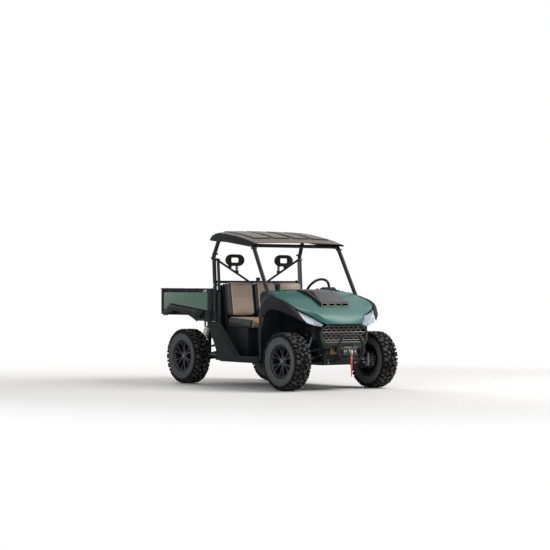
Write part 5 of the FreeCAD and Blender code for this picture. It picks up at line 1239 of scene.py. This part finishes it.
rails = cad_copy("bed_rails", 0.0035)
lean = Matrix.Translation((-0.545, 0.0, 1.187))
lean[0][2] = 0.45
for side in (-1, 1):
    for k in range(7):
        z = 0.950 + k * 0.036
        block(rails, (-0.478, side * 0.7025, z - 0.006), (-0.396, side * 0.7065, z + 0.006), 0.0018)
    for x in (-1.450, -1.100, -0.750, -0.430):
        drum(rails, (x, side * 0.676, 1.2175), (x, side * 0.676, 1.2195), 0.012, segments=20)
    block(rails, (-0.038, side * 0.6985, -0.016), (0.038, side * 0.7015, 0.016), 0.002, lean, 1)
for x, z in ((-1.515, 1.150), (-1.515, 1.030), (-0.437, 1.190)):
    caps(rails, x, 0.7025, 0.7060, z)
make("bed_side_rails", rails, "bed", "black_plastic", black_plastic, bar_grey, swap="bed_rails")

# The bed skins' green is darker than the bonnet's: painted shade on the same paint.
bed_paint_shaded = Finish("bed_green_painted_shade", (0.010, 0.085, 0.040), 0.38, Metallic=0.35, Coat_Weight=0.8, Coat_Roughness=0.08)
bed_paint_shaded.wear(4.0, 0.12, 0.3, 5.0)
bed_paint_shaded.tint(bed_paint_shaded.noise(2.5, 3.0) * 0.3, (0.008, 0.055, 0.035))
bed_paint_shaded.relief(bed_paint_shaded.noise(600.0, 2.0), 0.0001, 0.2)
make("bed_skins", cad_copy("bed_side_panels", 0.003, segments=3), "bed", "body_green", bed_paint_shaded,
     swap="bed_side_panels")

# Rear arch flares: black plastic mouldings over the wheels, fixed along the bed's lower edge. Each
# has a rolled lip round its arch.
flares = cad_copy("bed_flares", 0.0025, 40.0)
lips = [(-1.425, 0.869), (-1.335, 0.869), (-1.268, 0.906), (-1.190, 0.935), (-1.030, 0.915), (-0.880, 0.889),
        (-0.745, 0.839), (-0.654, 0.797)]
for side in (-1, 1):
    tube(flares, [(x, side * 0.7430, z) for x, z in lips], 0.0042)
make("arch_flares", flares, "bed", "black_plastic", black_plastic, smooth=40.0, swap="bed_flares")

# Tail lamps: two ribbed red plastic lenses, one above the other, in a black moulded surround on
# each rear post of the bed.
red_lens = Finish("red_lens", (0.45, 0.010, 0.008), 0.12, Coat_Weight=0.8, Coat_Roughness=0.03)
red_lens.relief(red_lens.stripes(60.0), 0.0015)
tail = bmesh.new()
for side in (-1, 1):
    block(tail, (-1.5465, side * 0.6545, 0.9805), (-1.5403, side * 0.6955, 1.1095), 0.002, material=1)
    for low, high in ((0.9860, 1.0380), (1.0420, 1.1040)):
        block(tail, (-1.5495, side * 0.6585, low), (-1.5460, side * 0.6915, high), 0.0012)
make("tail_lamps", tail, "bed", "red_lens", red_lens, black_plastic, swap="tail_lights")

# Tailgate: a double-skinned moulding with pressed ribs and a recessed latch handle. It folds down
# on two pins in the bed's rear posts.
gate = cad_copy("tailgate", 0.004)
for low, high in ((-0.610, -0.330), (-0.300, 0.300), (0.330, 0.610)):
    block(gate, (-1.5490, low, 0.930), (-1.5450, high, 1.060), 0.0018)
    block(gate, (-1.5225, low, 0.930), (-1.5195, high, 1.150), 0.0014)
for side in (-1, 1):
    block(gate, (-1.5490, side * 0.120, 1.085), (-1.5450, side * 0.610, 1.170), 0.0018)
block(gate, (-1.5475, -0.100, 1.090), (-1.5450, 0.100, 1.170), 0.001)
block(gate, (-1.5497, -0.070, 1.130), (-1.5470, 0.070, 1.155), 0.0012, material=1)
make("gate_moulding", gate, "tailgate", "black_plastic", black_plastic, bar_grey, swap="tailgate")
